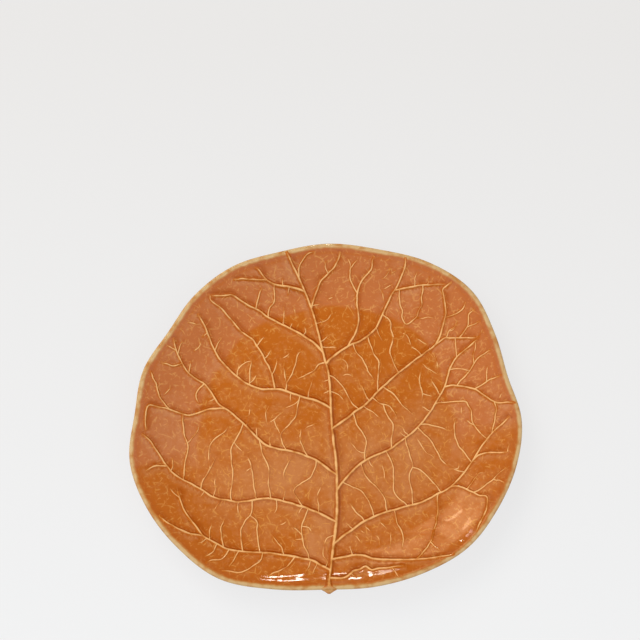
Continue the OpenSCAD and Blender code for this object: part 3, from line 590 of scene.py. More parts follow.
# %% Cross veins
left_cross_routes_shares = [
    [-373, -460, -370, -500, -380, -545, -402, -570, -420, -612, -425, -655, -422, -703, -413, -752],
    [-380, -545, -347, -577, -343, -620, -340, -668, -327, -755],
    [-90, -500, -104, -557, -117, -598, -117, -648, -104, -703, -88, -747, -80, -792],
    [-117, -648, -142, -623, -165, -602], [-268, -650, -240, -697, -215, -728, -207, -766],
    [-510, -565, -525, -620, -520, -668, -507, -732],
    [-430, -20, -447, -80, -472, -133, -488, -172, -485, -222, -476, -280, -476, -337, -482, -393,
     -476, -464],
    [-402, -205, -383, -258, -373, -302, -370, -352, -357, -415, -353, -455],
    [-340, -115, -330, -180, -312, -222, -295, -258, -288, -310, -290, -372, -278, -450],
    [-48, -228, -60, -280, -80, -323, -124, -357, -160, -400, -143, -443, -115, -490],
    [-178, -215, -200, -258, -215, -302, -210, -337],
    [-505, -40, -520, -68, -555, -97, -587, -130, -600, -172, -597, -230],
    [-560, -208, -585, -265, -607, -315, -625, -350, -632, -402],
    [-737, 20, -735, -50, -722, -108, -708, -165, -715, -222, -720, -272, -723, -352],
    [-137, 140, -150, 95, -155, 45, -165, 10, -200, -35, -232, -80, -228, -115, -207, -173],
    [-95, -208, -125, -137, -135, -95], [-210, 167, -207, 212, -220, 262, -226, 320],
    [-207, 212, -184, 262, -168, 313, -150, 380, -125, 408],
    [0, 340, -40, 328, -67, 292, -105, 267, -155, 240], [-400, 205, -400, 277, -393, 320, -390, 357],
    [-310, 597, -305, 650, -282, 687, -278, 782], [-378, 642, -360, 710, -343, 757],
    [-155, 820, -152, 882, -127, 922, -110, 945, -73, 960], [-633, 203, -670, 152, -673, 117, -653, 85],
    [-805, 45, -855, 105, -868, 140, -872, 180, -893, 215, -905, 250],
    [-745, 303, -782, 293, -808, 293, -855, 300], [-540, -715, -557, -753, -580, -780, -602, -792],
    [-480, -743, -500, -785, -527, -805, -570, -810, -595, -830], [-433, -750, -460, -808, -477, -843],
    [-310, -757, -322, -803, -360, -837, -398, -863, -430, -875, -480, -870, -513, -868],
    [-145, -777, -180, -822, -220, -858, -257, -873, -282, -895]]
right_cross_routes_shares = [
    [405, -94, 422, -165, 438, -212, 442, -255, 430, -295, 430, -345, 440, -400, 446, -469],
    [442, -255, 483, -273, 522, -312, 553, -343, 573, -375, 592, -400],
    [310, -165, 330, -215, 347, -265, 347, -315, 347, -387, 375, -430, 420, -480],
    [180, -243, 195, -293, 230, -340, 265, -378, 292, -415, 304, -450, 317, -512],
    [90, -347, 138, -375, 177, -390, 203, -425, 228, -472, 250, -542], [125, -463, 157, -513, 200, -567],
    [468, -33, 503, -65, 535, -100, 560, -143, 586, -200, 606, -230, 632, -250],
    [485, -10, 522, -10, 567, -22, 606, -37, 625, -48],
    [665, 27, 658, -30, 660, -80, 678, -130, 703, -172, 745, -230],
    [563, 112, 620, 118, 665, 122, 710, 118, 727, 100, 742, 65, 745, 30, 760, -25, 797, -77, 822, -105],
    [137, 45, 163, -25, 195, -75, 208, -115, 202, -165, 198, -230],
    [235, 138, 277, 107, 308, 97, 335, 75, 353, 47, 366, 18],
    [293, 102, 300, 60, 323, 20, 345, -15, 342, -58, 336, -94, 333, -152],
    [290, 200, 347, 157, 373, 118, 405, 82, 450, 42], [478, 227, 493, 175, 490, 125],
    [585, 157, 570, 183, 550, 227, 538, 250], [130, 447, 153, 400, 180, 365, 206, 320, 212, 290, 245, 240],
    [208, 500, 222, 453, 240, 400, 263, 358, 267, 307, 265, 255, 262, 170],
    [342, 493, 330, 445, 327, 410, 340, 358, 356, 313, 372, 283], [285, 625, 323, 585, 330, 540, 336, 505],
    [393, 515, 410, 507, 427, 467, 437, 438], [10, 260, 37, 255, 63, 218, 95, 180, 122, 118, 165, 68],
    [180, 210, 200, 160, 218, 118], [352, -502, 365, -570, 384, -612, 396, -668, 395, -700],
    [752, -408, 783, -388, 842, -343, 872, -310, 917, -268], [722, -390, 747, -338, 780, -300],
    [760, 185, 820, 222, 855, 238, 893, 255],
    [672, 212, 690, 242, 717, 268, 740, 295, 752, 330, 775, 360, 803, 378, 840, 400],
    [862, 108, 870, 60, 863, 17, 850, -70], [607, 597, 645, 608, 677, 623, 700, 645, 712, 677],
    [680, 487, 703, 510, 722, 540, 728, 575, 732, 610, 760, 637],
    [152, 745, 133, 772, 117, 812, 113, 845, 114, 878, 150, 920],
    [490, 779, 493, 745, 487, 712, 488, 672, 472, 640, 460, 607, 440, 585, 410, 567, 388, 600, 387, 642,
     375, 685, 373, 740]]
print("cross veins:", len(left_cross_routes_shares), "and", len(right_cross_routes_shares))

# %% Twigs
left_twig_routes_shares = [
    [-785, -300, -777, -275, -785, -232], [-778, 380, -800, 390, -825, 397],
    [-768, 355, -755, 393, -745, 430], [-100, -600, -80, -610, -60, -645],
    [34, -647, 16, -661, 1, -682, -4, -717, -4, -758, 3, -776, 14, -800, 14, -826],
    [-472, -133, -447, -162, -425, -183], [-360, -40, -350, -94], [-655, -45, -677, -100, -693, -137],
    [-285, -150, -288, -95], [-235, 40, -270, 0], [-188, 105, -188, 145], [-455, 258, -455, 320],
    [-395, 213, -377, 240, -365, 262], [-280, 262, -265, 307, -262, 357], [-358, 437, -342, 467, -323, 490],
    [-578, 398, -570, 430, -550, 465], [-675, 530, -700, 537, -725, 535], [-235, 775, -237, 812],
    [-205, 765, -210, 720], [-80, 665, -40, 680], [-700, 270, -705, 325],
    [-75, -800, -82, -840, -95, -870, -110, -900], [-40, -812, -48, -850, -62, -885]]
right_twig_routes_shares = [
    [534, -685, 557, -715, 582, -740], [922, -182, 932, -133], [820, 222, 820, 268],
    [750, 335, 750, 378, 763, 410, 766, 447], [635, 300, 670, 305, 720, 310],
    [722, 535, 748, 550, 790, 567], [622, 505, 632, 527, 657, 540, 673, 575],
    [663, 478, 663, 440, 660, 377], [655, -270, 695, -277], [503, 165, 545, 150], [462, 487, 517, 452],
    [255, 540, 270, 497, 287, 467], [25, 167, 57, 157, 90, 118], [0, 427, 50, 427], [137, -750, 128, -712],
    [137, -870, 163, -897], [338, -852, 373, -895]]
print("twigs:", len(left_twig_routes_shares), "and", len(right_twig_routes_shares))

# %% [markdown]
# ## From routes to vein paths
# Each route becomes a smooth path with a width and a height at every step. A vein narrows along its
# way. Where it leaves a stronger vein it starts on that vein's middle line and climbs to its height,
# so the two flow together as pressed clay does. An end that meets nothing sinks into the face. Veins
# drawn by hand are never quite steady, so the slim ones sway a little and vary in tone.

# %% Smooth paths
FINE = 16  # steps between two points of a route


def length_along(xy):
    return np.concatenate([[0], np.cumsum(np.linalg.norm(np.diff(xy, axis=0), axis=1))])


def smooth(points):
    """A smooth path through points, sampled about every millimetre."""
    ends = np.concatenate([points[:1], points, points[-1:]])
    t = np.linspace(0, 1, FINE, endpoint=False)[:, None]
    dense = [between(*ends[i : i + 4], t) for i in range(len(points) - 1)]
    dense = np.concatenate([*dense, points[-1:]])
    far = length_along(dense)
    even = np.linspace(0, far[-1], max(4, int(far[-1]) + 1))
    return np.column_stack([np.interp(even, far, dense[:, k]) for k in (0, 1)])


# In mm: how near an end must be to join a vein, how far it climbs to it, and how far a free end sinks
JOIN_GAP, CLIMB, SINK = 3.2, 3.5, 5.0
SWAY = 2.2  # divided by a vein's width, so that slim veins sway more
SWAY_SIZE, HELD = 6, 4  # mm: the size of a sway, and the length of each end that stays in place
FADE = 0.6  # how much of the tone a sway of 1 mm may take
elders = []  # every step of the stronger veins: x, y and height


def vein_path(route, root, tip, show, open_root=False):
    """Columns x, y, half width, height and show of one vein, in mm. Root and tip are (width, height)."""
    xy = middle + np.array(route).reshape(-1, 2) / 1000 * scale
    met, joined = np.array(elders).reshape(-1, 3), []
    for end in (0, -1):
        apart = np.linalg.norm(met[:, :2] - xy[end], axis=1)
        if len(met) and apart.min() < JOIN_GAP:
            xy[end] = met[apart.argmin(), :2]
            joined.append(met[apart.argmin(), 2])
        else:
            joined.append(None)
    xy = smooth(xy)
    far = length_along(xy)
    width, high = (a + (b - a) * far / far[-1] for a, b in zip(root, tip))
    unsteady = SWAY / root[0]
    sway_x, sway_y, faint = (wander(xy, SWAY_SIZE, layer) for layer in (7.3, 9.1, 2.7))
    held = ease(np.minimum(far, far[-1] - far) / HELD)
    xy = xy + unsteady * held[:, None] * np.column_stack([sway_x, sway_y])
    seen = show * (1 - FADE * unsteady * np.maximum(faint, 0))
    if open_root:
        # The midrib is slimmer and lower where it runs out over the wall
        width, high = width * (0.66 + 0.34 * ease(far / 40)), high * (0.65 + 0.35 * ease(far / 30))
    for met_height, from_end, is_open in zip(joined, (far, far[-1] - far), (open_root, False)):
        if met_height is not None:
            near = 1 - ease(from_end / CLIMB)
            high = high + (met_height - high) * near
        elif not is_open:
            fade = ease(from_end / min(SINK, far[-1] / 3))
            high, seen = high * (0.3 + 0.7 * fade), seen * (0.65 + 0.35 * fade)
    return np.column_stack([xy, width / 2, high, seen])


vein_pieces = {}


def lay_veins(plan):
    """Paths for a plan of (piece, routes, (root, tip), show). They then count as elders."""
    made = []
    for name, routes, ends, show in plan:
        for route in routes:
            path = vein_path(route, *ends, show, open_root=name == "midrib")
            vein_pieces.setdefault(name, []).append(path)
            made.append(path)
    for path in made:
        elders.extend(path[:, [0, 1, 3]].tolist())
    return len(made)


print("one step of a path is about 1 mm, and an end joins a vein within", JOIN_GAP, "mm")

# %% Lay the veins
# Width over both flanks and height of each rank, at the root and at the tip. The number after them in a
# plan says how bare the crest is: slim veins are barer, or they would be lost.
midrib_ends = ((7.4, 1.6), (3.8, 0.6))
side_ends = ((5.4, 1.1), (3.0, 0.48))
fork_ends = ((4.1, 0.75), (2.85, 0.42))
cross_ends = ((2.85, 0.5), (2.45, 0.4))
twig_ends = ((2.25, 0.34), (1.85, 0.26))
side_routes = (("left", left_vein_routes_shares), ("right", right_vein_routes_shares))
lay_veins([("midrib", [midrib_route_shares], midrib_ends, 1.0)])
lay_veins([(f"{hand}_vein_{i + 1}", [route], side_ends, 1.04)
           for hand, routes in side_routes for i, route in enumerate(routes)])
lay_veins([("tip_fork", [tip_fork_route_shares], fork_ends, 1.05),
           ("left_forks", left_fork_routes_shares, fork_ends, 1.05),
           ("right_forks", right_fork_routes_shares[:1], cross_ends, 1.0),
           ("right_forks", right_fork_routes_shares[1:], fork_ends, 1.05)])


def lay_small(left, right, ends, show):
    return lay_veins([("left_cross_veins", left, ends, show), ("right_cross_veins", right, ends, show)])


# Cross veins are laid two at a time, because a later one may join an earlier one
pairs = len(left_cross_routes_shares)
for left, right in zip(left_cross_routes_shares, right_cross_routes_shares):
    lay_small([left], [right], cross_ends, 1.1)
lay_small([], right_cross_routes_shares[pairs:], cross_ends, 1.1)
twigs = lay_small(left_twig_routes_shares, right_twig_routes_shares, twig_ends, 1.12)
print("paths:", {name: len(paths) for name, paths in vein_pieces.items()})
print("of these", twigs, "twigs, in", len(elders), "steps")

# %% [markdown]
# ## Strokes between the veins
# The shortest strokes were read on enlarged pieces of the photograph, so they are kept in its pixels, x and
# y by turns. The veins are laid by now, and each of their steps shows at a known pixel. A smooth fit over
# all these steps then tells where on the leaf any other pixel lies. Every group has a nudge in pixels,
# because the veins lie up to 3 pixels off the photograph's and the strokes keep to them.

# %% Strokes in pixels
stroke_groups_px = [
    ((0, 1), [[346, 521, 350, 525, 354, 528], [365, 525, 368, 527, 371, 530], [360, 528, 364, 531],
        [380, 520, 383, 523, 386, 526], [354, 533, 357, 536, 361, 541], [391, 530, 391, 537, 390, 548],
        [375, 533, 379, 537, 380, 546], [403, 538, 402, 548], [348, 541, 350, 547]]),
    ((0, -2), [[269, 408, 266, 416, 266, 421, 268, 427], [297, 403, 290, 409, 284, 411],
        [276, 420, 273, 423, 269, 425], [272, 408, 277, 409], [291, 400, 290, 408],
        [305, 432, 310, 428, 315, 427], [301, 432, 300, 440], [246, 473, 253, 470],
        [246, 418, 248, 422, 247, 427], [270, 436, 270, 442, 271, 449], [276, 424, 278, 432, 280, 438],
        [250, 411, 249, 418], [317, 498, 319, 493, 321, 489], [285, 491, 285, 499]]),
    ((0.5, 0), [[364, 409, 370, 412, 375, 415, 380, 419], [350, 443, 354, 449, 358, 452, 364, 454],
        [402, 427, 406, 432], [399, 432, 404, 436], [416, 437, 421, 447, 427, 453, 435, 458],
        [421, 406, 428, 410], [369, 461, 373, 468], [381, 461, 383, 470, 384, 481]]),
    ((-2, -2.5), [[217, 478, 217, 489, 216, 499], [209, 455, 211, 463, 210, 470],
        [172, 491, 176, 496, 180, 501], [214, 524, 212, 532, 214, 539], [223, 502, 219, 507, 216, 512],
        [241, 507, 240, 516], [200, 546, 205, 544, 209, 540], [202, 500, 206, 494]]),
    ((2.5, 0), [[233, 368, 240, 364, 247, 360], [263, 358, 266, 353, 269, 350],
        [280, 358, 284, 356, 287, 353], [282, 320, 282, 313, 281, 306], [286, 330, 288, 326, 290, 322],
        [291, 307, 293, 313], [302, 326, 303, 331, 301, 336], [314, 323, 320, 321, 325, 317, 330, 312],
        [320, 342, 324, 337, 326, 335], [320, 347, 326, 347], [310, 380, 308, 388, 306, 397],
        [321, 394, 325, 391], [321, 382, 326, 380]]),
    ((1.5, 0), [[399, 332, 404, 332], [413, 349, 420, 354], [338, 358, 343, 361, 346, 366, 346, 372],
        [341, 376, 346, 375, 352, 377], [419, 371, 418, 379, 420, 386], [421, 363, 428, 369, 437, 374],
        [432, 352, 435, 360, 436, 368], [415, 318, 423, 317, 432, 317]]),
    ((2.5, 1), [[447, 330, 452, 328, 456, 322], [476, 336, 480, 329], [472, 348, 471, 356],
        [485, 366, 485, 373], [497, 398, 499, 393], [459, 404, 459, 412], [464, 418, 472, 423]]),
    ((3, 0), [[323, 261, 323, 268, 325, 274], [286, 289, 286, 296], [325, 298, 330, 296]]),
    ((2.5, -1), [[345, 260, 347, 265, 348, 270], [388, 269, 386, 275, 383, 278, 379, 280],
        [394, 272, 388, 275], [390, 285, 385, 288, 380, 290], [380, 291, 381, 301],
        [415, 273, 413, 280, 412, 286], [427, 278, 426, 284, 424, 287]]),
    ((1, -3), [[192, 354, 198, 350, 200, 344], [201, 340, 205, 336], [163, 398, 167, 394, 170, 390],
        [206, 404, 211, 402, 215, 400], [199, 428, 197, 437]]),
    ((-1.5, -1.5), [[278, 502, 278, 508, 276, 514], [300, 515, 304, 510], [319, 500, 320, 506, 321, 512],
        [280, 526, 285, 524, 288, 522], [296, 540, 302, 540]]),
    ((1, 1), [[475, 475, 479, 472, 484, 472], [493, 479, 499, 481, 503, 482],
        [453, 469, 458, 466, 458, 461]])]
print("groups of strokes:", len(stroke_groups_px))

# %% From pixels to the leaf
FIT_POWER = 3  # the fit is a cubic in both directions


def pixels_of(path):
    """Pixels of the photograph at which the steps of vein paths show."""
    leaf = (path[:, :2] - middle) / scale
    angle = np.degrees(np.arctan2(leaf[:, 1], leaf[:, 0]))
    share = np.linalg.norm(leaf, axis=1) / margin_share(angle)
    up_wall = np.minimum((share - floor_share) / (seam_share(angle) - floor_share), 1)
    spots = np.column_stack([path[:, :2], face_z(angle, up_wall) + path[:, 3]]) * MM
    seen = (spots - np.array(camera.location)) @ np.array(camera.rotation_euler.to_matrix())
    return PHOTO_PX / 2 + focal_px * seen[:, :2] * (1, -1) / -seen[:, 2:]


def powers(pixels):
    x, y = ((pixels - plate_px) / (PLATE_PX / 2)).T
    return np.stack([x**i * y**j for i in range(FIT_POWER + 1) for j in range(FIT_POWER + 1 - i)], -1)


steps = np.concatenate([path for paths in vein_pieces.values() for path in paths])
fit = np.linalg.lstsq(powers(pixels_of(steps)), (steps[:, :2] - middle) / scale * 1000, rcond=None)[0]
midrib_x, midrib_y = np.array(midrib_route_shares).reshape(-1, 2).T
left_strokes, right_strokes = [], []
for nudge, routes in stroke_groups_px:
    for route in routes:
        # Whole thousandths, as in the routes of the veins
        route = np.round(powers(np.array(route).reshape(-1, 2) + nudge) @ fit)
        x, y = route.mean(0)
        hand = left_strokes if x < np.interp(y, midrib_y, midrib_x) else right_strokes
        hand.append(route)
stroke_ends = ((2.0, 0.26), (1.7, 0.2))
print("strokes:", lay_small(left_strokes, right_strokes, stroke_ends, 1.15))

# %% [markdown]
# ## Raised veins with Geometry Nodes
# A vein is a low round ridge that follows a path over a curved face. A bevelled curve would keep a
# circular section and float above the wall, so a node tree does it: it sweeps a ring of points along
# each path, spreads the ring to the vein's width, drops a ray at every point to find the face, and
# lifts the upper half by the vein's height. The lower half stays in the clay, so each ridge is closed.
# The crest is stored as "thin", which is where the glaze runs off. The upper side of each vein, away from
# the stalk, gets a dark line, partly glaze pooled against the vein and partly painted shade, and it is
# stored as the pool value.

# %% Sweep a ring along a path
STORE = "GeometryNodeStoreNamedAttribute"
VECTORS, NUMBERS = ({"data_type": kind, "domain": "POINT"} for kind in ("FLOAT_VECTOR", "FLOAT"))
vein_tree = bpy.data.node_groups.new("raised_vein", "GeometryNodeTree")
tree = vein_tree
for name, kind in (("Path", "Geometry"), ("Face", "Object"), ("Step", "Float"), ("Depth", "Float"),
                   ("Ring points", "Int"), ("Glaze", "Material")):
    tree.interface.new_socket(name=name, in_out="INPUT", socket_type="NodeSocket" + kind)
tree.interface.new_socket(name="Vein", in_out="OUTPUT", socket_type="NodeSocketGeometry")
given = add(tree, "NodeGroupInput").outputs
line = add(tree, "GeometryNodeMeshToCurve", given["Path"])
line = add(tree, "GeometryNodeResampleCurve", {"Curve": line, "Length": given["Step"]}, mode="LENGTH")
where = add(tree, "GeometryNodeInputPosition")
tangent = add(tree, "GeometryNodeInputTangent")
sideways = add(tree, "VectorMath", tangent, (0, 0, 1), operation="CROSS_PRODUCT")
sideways = add(tree, "VectorMath", sideways, operation="NORMALIZE")
for name, value in (("centre", where), ("sideways", sideways)):
    line = add(tree, STORE, {"Geometry": line, "Name": name, "Value": value}, **VECTORS)
ring = add(tree, "GeometryNodeCurvePrimitiveCircle", {"Resolution": given["Ring points"], "Radius": 1.0},
           mode="RADIUS")
ring = add(tree, STORE, {"Geometry": ring, "Name": "on_ring", "Value": where}, **VECTORS)
tube = add(tree, "GeometryNodeCurveToMesh", {"Curve": line, "Profile Curve": ring, "Fill Caps": True})
print("sweeping nodes:", len(tree.nodes))

# %% Seat the ring on the face
read = {}
for name, kind in (("centre", "FLOAT_VECTOR"), ("sideways", "FLOAT_VECTOR"), ("on_ring", "FLOAT_VECTOR"),
                   ("half_width", "FLOAT"), ("high", "FLOAT"), ("show", "FLOAT")):
    read[name] = add(tree, "GeometryNodeInputNamedAttribute", {"Name": name}, data_type=kind)
on_ring = add(tree, "SeparateXYZ", read["on_ring"]).outputs
# Points gather towards the middle of the vein, where its crest is sharpest
aside = add(tree, "Math", on_ring["X"], operation="ABSOLUTE")
aside = add(tree, "Math", aside, 1.5, operation="POWER")
side = add(tree, "Math", on_ring["X"], operation="SIGN")
across = add(tree, "Math", aside, side, operation="MULTIPLY")
across = add(tree, "Math", across, read["half_width"], operation="MULTIPLY")
spread = add(tree, "VectorMath", {0: read["sideways"], "Scale": across}, operation="SCALE")
flat = add(tree, "VectorMath", read["centre"], spread, operation="ADD")
face = add(tree, "GeometryNodeObjectInfo", {"Object": given["Face"]}).outputs["Geometry"]
ray = {"Target Geometry": face, "Source Position": flat, "Ray Direction": (0, 0, -1), "Ray Length": 1.0}
hit = add(tree, "GeometryNodeRaycast", ray).outputs["Hit Position"]
# A bell-shaped section above the face, and a shallow keel below it
bell = add(tree, "Math", aside, aside, operation="MULTIPLY")
bell = add(tree, "Math", 1.0, bell, operation="SUBTRACT", use_clamp=True)
bell = add(tree, "Math", bell, 3.0, operation="POWER")
upper = add(tree, "Math", on_ring["Y"], 0.001, operation="GREATER_THAN")
crown = add(tree, "Math", bell, upper, operation="MULTIPLY")
lower = add(tree, "Math", on_ring["Y"], 0.0, operation="MINIMUM")
sunk = add(tree, "Math", lower, given["Depth"], -0.03 * MM, operation="MULTIPLY_ADD")
lift = add(tree, "Math", crown, read["high"], sunk, operation="MULTIPLY_ADD")
lift = add(tree, "CombineXYZ", {"Z": lift})
seat = add(tree, "VectorMath", hit, lift, operation="ADD")
shaped = add(tree, "GeometryNodeSetPosition", {"Geometry": tube, "Position": seat})
print("nodes with the seat:", len(tree.nodes))

# %% Store the crest, and the pool with its painted shade
# The side away from the stalk gets the dark line: pooled glaze and painted shade
UPHILL_AND_SHADED_SIDE = (0.35, 0.94, 0)  # away from the stalk
FULL_POOL_SHADE_HEIGHT = 0.9 * MM  # a vein this high holds a full pool
crest = add(tree, "Math", crown, read["show"], operation="MULTIPLY")
shaped = add(tree, STORE, {"Geometry": shaped, "Name": "thin", "Value": crest}, **NUMBERS)
stout = add(tree, "Math", read["high"], FULL_POOL_SHADE_HEIGHT, operation="DIVIDE", use_clamp=True)
leaning = add(tree, "VectorMath", spread, UPHILL_AND_SHADED_SIDE, operation="DOT_PRODUCT").outputs["Value"]
leaning = add(tree, "Math", leaning, read["half_width"], operation="DIVIDE")
uphill_and_shaded = add(tree, "MapRange", leaning, -0.4, 0.5, 0.3, 1.0)
gathered_and_shaded = add(tree, "MapRange", crown, 0.0, 0.2, 0.4, 1.0)
for share in (stout, uphill_and_shaded):
    gathered_and_shaded = add(tree, "Math", gathered_and_shaded, share, operation="MULTIPLY")
shaped = add(tree, STORE, {"Geometry": shaped, "Name": "pool", "Value": gathered_and_shaded}, **NUMBERS)
for kind in ("FlipFaces", "SetShadeSmooth", "RealizeInstances"):
    shaped = add(tree, "GeometryNode" + kind, shaped)
shaped = add(tree, "GeometryNodeSetMaterial", {"Geometry": shaped, "Material": given["Glaze"]})
add(tree, "NodeGroupOutput", {"Vein": shaped})
print("vein tree nodes:", len(tree.nodes))

# %% [markdown]
# ## Cloudy areas and painted haze in the glaze
# The photograph shows paler clouds in the glaze beside deeper, clearer orange. Here they are partly the
# glaze's own tone and partly painted reflection haze, and the small oval beside the foot of the midrib is a
# painted highlight where a lump of glaze stands. They are laid as soft ovals, each with a place and a size
# in shares of the leaf and a strength, and noise frays their borders. The same function serves the blade,
# the rim and the veins, so that the tone runs on from one piece to the next.

# %% Storing values on a mesh
pale_and_haze_oval_shares = [(-0.3, -0.3, 0.36, 0.24, 1.0), (0.35, -0.2, 0.3, 0.3, 0.6), (0.0, -0.6, 0.3, 0.15, 0.5),
                    (-0.04, -0.7, 0.035, 0.07, 0.9)]
FRAY_SHARE, FRAY_SIZE = 0.05, 22  # how far noise moves the borders, and its size in mm


def store(mesh, name, values):
    """Keep one number per point on a mesh, where a material can read it."""
    spot = mesh.attributes.get(name) or mesh.attributes.new(name, "FLOAT", "POINT")
    spot.data.foreach_set("value", np.asarray(values, np.float32))


def points_of(mesh):
    co = np.zeros(len(mesh.vertices) * 3, np.float32)
    mesh.vertices.foreach_get("co", co)
    return co.reshape(-1, 3) / MM


def cloud_and_haze_over(mesh, painted_sheen_below=0.0):
    xy = points_of(mesh)[:, :2]
    q = (xy - middle) / scale + FRAY_SHARE * wander(xy, FRAY_SIZE, 3.1)[:, None]
    clouds_and_haze = sum(a * np.exp(-(((q - (x, y)) / (w, h)) ** 2).sum(1)) for x, y, w, h, a in pale_and_haze_oval_shares)
    store(mesh, "pale", np.clip(clouds_and_haze + painted_sheen_below, 0, 1))


def add_piece(mesh, nodes):
    """Put a finished mesh in the scene in the place of its CAD nodes."""
    made = bpy.data.objects.new(mesh.name, mesh)
    scene.collection.objects.link(made)
    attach(made, "root")
    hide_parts(*nodes)


print("clouds:", len(pale_and_haze_oval_shares))

# %% Make the veins
ABOVE_ALL = 60.0  # mm: paths run here, and their rays go down to the face
vein_sizes = {"Face": guide, "Step": 1.1 * MM, "Depth": 0.6 * MM, "Ring points": 20, "Glaze": glaze}
sockets = {s.name: s.identifier for s in vein_tree.interface.items_tree if s.in_out == "INPUT"}
vein_meshes = []
for name, paths in vein_pieces.items():
    steps = np.concatenate(paths)
    starts = np.cumsum([0] + [len(p) for p in paths])
    edges = [(i, i + 1) for a, b in zip(starts, starts[1:]) for i in range(a, b - 1)]
    track = bpy.data.meshes.new(name + "_track")
    high_up = np.column_stack([steps[:, :2], np.full(len(steps), ABOVE_ALL)])
    track.from_pydata((high_up * MM).tolist(), edges, [])
    for column, value, unit in ((2, "half_width", MM), (3, "high", MM), (4, "show", 1)):
        store(track, value, steps[:, column] * unit)
    maker = bpy.data.objects.new(name + "_maker", track)
    scene.collection.objects.link(maker)
    modifier = maker.modifiers.new("raised_vein", "NODES")
    modifier.node_group = vein_tree
    for key, value in vein_sizes.items():
        modifier[sockets[key]] = value
    depsgraph = bpy.context.evaluated_depsgraph_get()
    ridge = bpy.data.meshes.new_from_object(maker.evaluated_get(depsgraph), depsgraph=depsgraph)
    ridge.name = name + "_glazed"
    maker.modifiers.remove(modifier)
    bpy.data.objects.remove(maker)
    for spare in read:
        if spare in ridge.attributes:
            ridge.attributes.remove(ridge.attributes[spare])
    cloud_and_haze_over(ridge)
    add_piece(ridge, [name])
    vein_meshes.append(ridge)
print("vein pieces:", len(vein_meshes), "faces:", sum(len(m.polygons) for m in vein_meshes))

# %% [markdown]
# ## Finish the blade and the rim
# The pooled glaze, with painted shade, reaches a little beyond each vein on its upper side, and a paler
# band of painted highlight lies along its lower side. So every point of the face needs to know its nearest
# ridge, and a search tree over all the ridges answers that. The rim is thin-glazed on its nose, and just
# inside it the glaze has a redder band.

# %% Pools with painted shade, and painted highlights, beside the veins
# Strengths of the pool with its painted shade and of the painted highlight, lower for cross veins, and how
# far from a vein they reach
SMALL_POOL_AND_SHEEN, LARGE_POOL_AND_SHEEN = 0.22, 0.62
BESIDE = 5 * MM  # how far from a vein the glaze still changes
corners, polygons, strength = [], [], []
for mesh in vein_meshes:
    polygons += [[v + len(corners) for v in poly.vertices] for poly in mesh.polygons]
    corners += [v.co.copy() for v in mesh.vertices]
    strength += [SMALL_POOL_AND_SHEEN if "cross" in mesh.name else LARGE_POOL_AND_SHEEN] * len(mesh.polygons)
ridges = BVHTree.FromPolygons(corners, polygons)
pool_and_shade_values, painted_sheen_below = np.zeros((2, len(blade_mesh.vertices)))
for i in range(sum(len(r) for r in face_rings)):
    here = blade_mesh.vertices[i].co
    spot, _, face_index, gap = ridges.find_nearest(here, BESIDE)
    if spot is not None:
        leaning = (here - spot).normalized().dot(Vector(UPHILL_AND_SHADED_SIDE))
        # A pool with its painted shade is 1.4 to 4.8 mm wide, and its width changes every 11 mm or so
        pool_and_shade_width = (1.4 + 3.4 * float(ease(0.45 + 1.1 * noise.noise(here / (11 * MM))))) * MM
        above = np.interp(leaning, (-0.3, 0.5), (0.15, 1.0))
        below = np.interp(leaning, (-0.7, 0.0), (0.9, 0.0))
        pool_and_shade_values[i] = strength[face_index] * max(0, 1 - gap / pool_and_shade_width) * above
        # Painted highlight along the lower side of the vein
        painted_sheen_below[i] = 1.3 * strength[face_index] * (1 - gap / BESIDE) * below
store(blade_mesh, "pool", pool_and_shade_values)
print("face points beside a vein:", int((pool_and_shade_values > 0).sum()))

# %% Edges of the blade and the rim
SEAM_BARE, NOSE_BARE, UNDER_BARE = 0.62, 0.34, 0.95  # "thin" at the seam, what the nose adds, and below
BARE_FROM, BAND_FROM = 7, 9  # mm from the margin, for the bare edge and the redder band
UNDER_TURN, UNDER_FADE = 172, 70  # degrees round the nose where bare clay ends, and how far it fades


def margin_gap(xy):
    """Distance from a point of the face to the margin, in mm, measured towards the middle."""
    q = (xy - middle) / scale
    angle = np.degrees(np.arctan2(q[..., 1], q[..., 0]))
    return (1 - np.linalg.norm(q, axis=-1) / margin_share(angle)) * reach(angle)


def extra_bare_to_tip(xy):
    """How much further the bare edge reaches in, in mm: more towards the tip of the leaf."""
    q = (xy - middle) / scale
    return 0.6 * ease(0.5 + 2 * q[:, 1] / np.maximum(np.linalg.norm(q, axis=1), 1e-6))


blade_xy = points_of(blade_mesh)[:, :2]
inside = np.maximum(margin_gap(blade_xy), 0)
store(blade_mesh, "thin", SEAM_BARE * ease((BARE_FROM - inside + extra_bare_to_tip(blade_xy)) / 3))
store(blade_mesh, "edge", ease((BAND_FROM - inside) / 4.5))
turns = np.repeat(nose_turns, len(around))
inside = RIM_W * (1 - np.sin(np.radians(turns)))
bare_face = SEAM_BARE + NOSE_BARE * ease((RIM_W - inside + extra_bare_to_tip(points_of(rim_mesh)[:, :2])) / 2.2)
bare_under = UNDER_BARE * ease((UNDER_TURN - turns) / UNDER_FADE)
store(rim_mesh, "thin", np.where(turns <= 90, bare_face, bare_under))
store(rim_mesh, "edge", np.ones(len(turns)))
for mesh, node, slot, more in ((blade_mesh, "leaf_blade", "amber_glaze", painted_sheen_below),
                               (rim_mesh, "rim", "thin_glaze", 0.0)):
    cloud_and_haze_over(mesh, more)
    mesh.materials.append(glaze)
    add_piece(mesh, [node])
print("blade and rim finished")

# %% [markdown]
# ## Stalk
# At the bottom of the leaf the midrib runs out as a slim ridge over the wall, and the rim is drawn out
# there to a short blunt point. It is a loft of rings, so that it can widen and narrow freely.

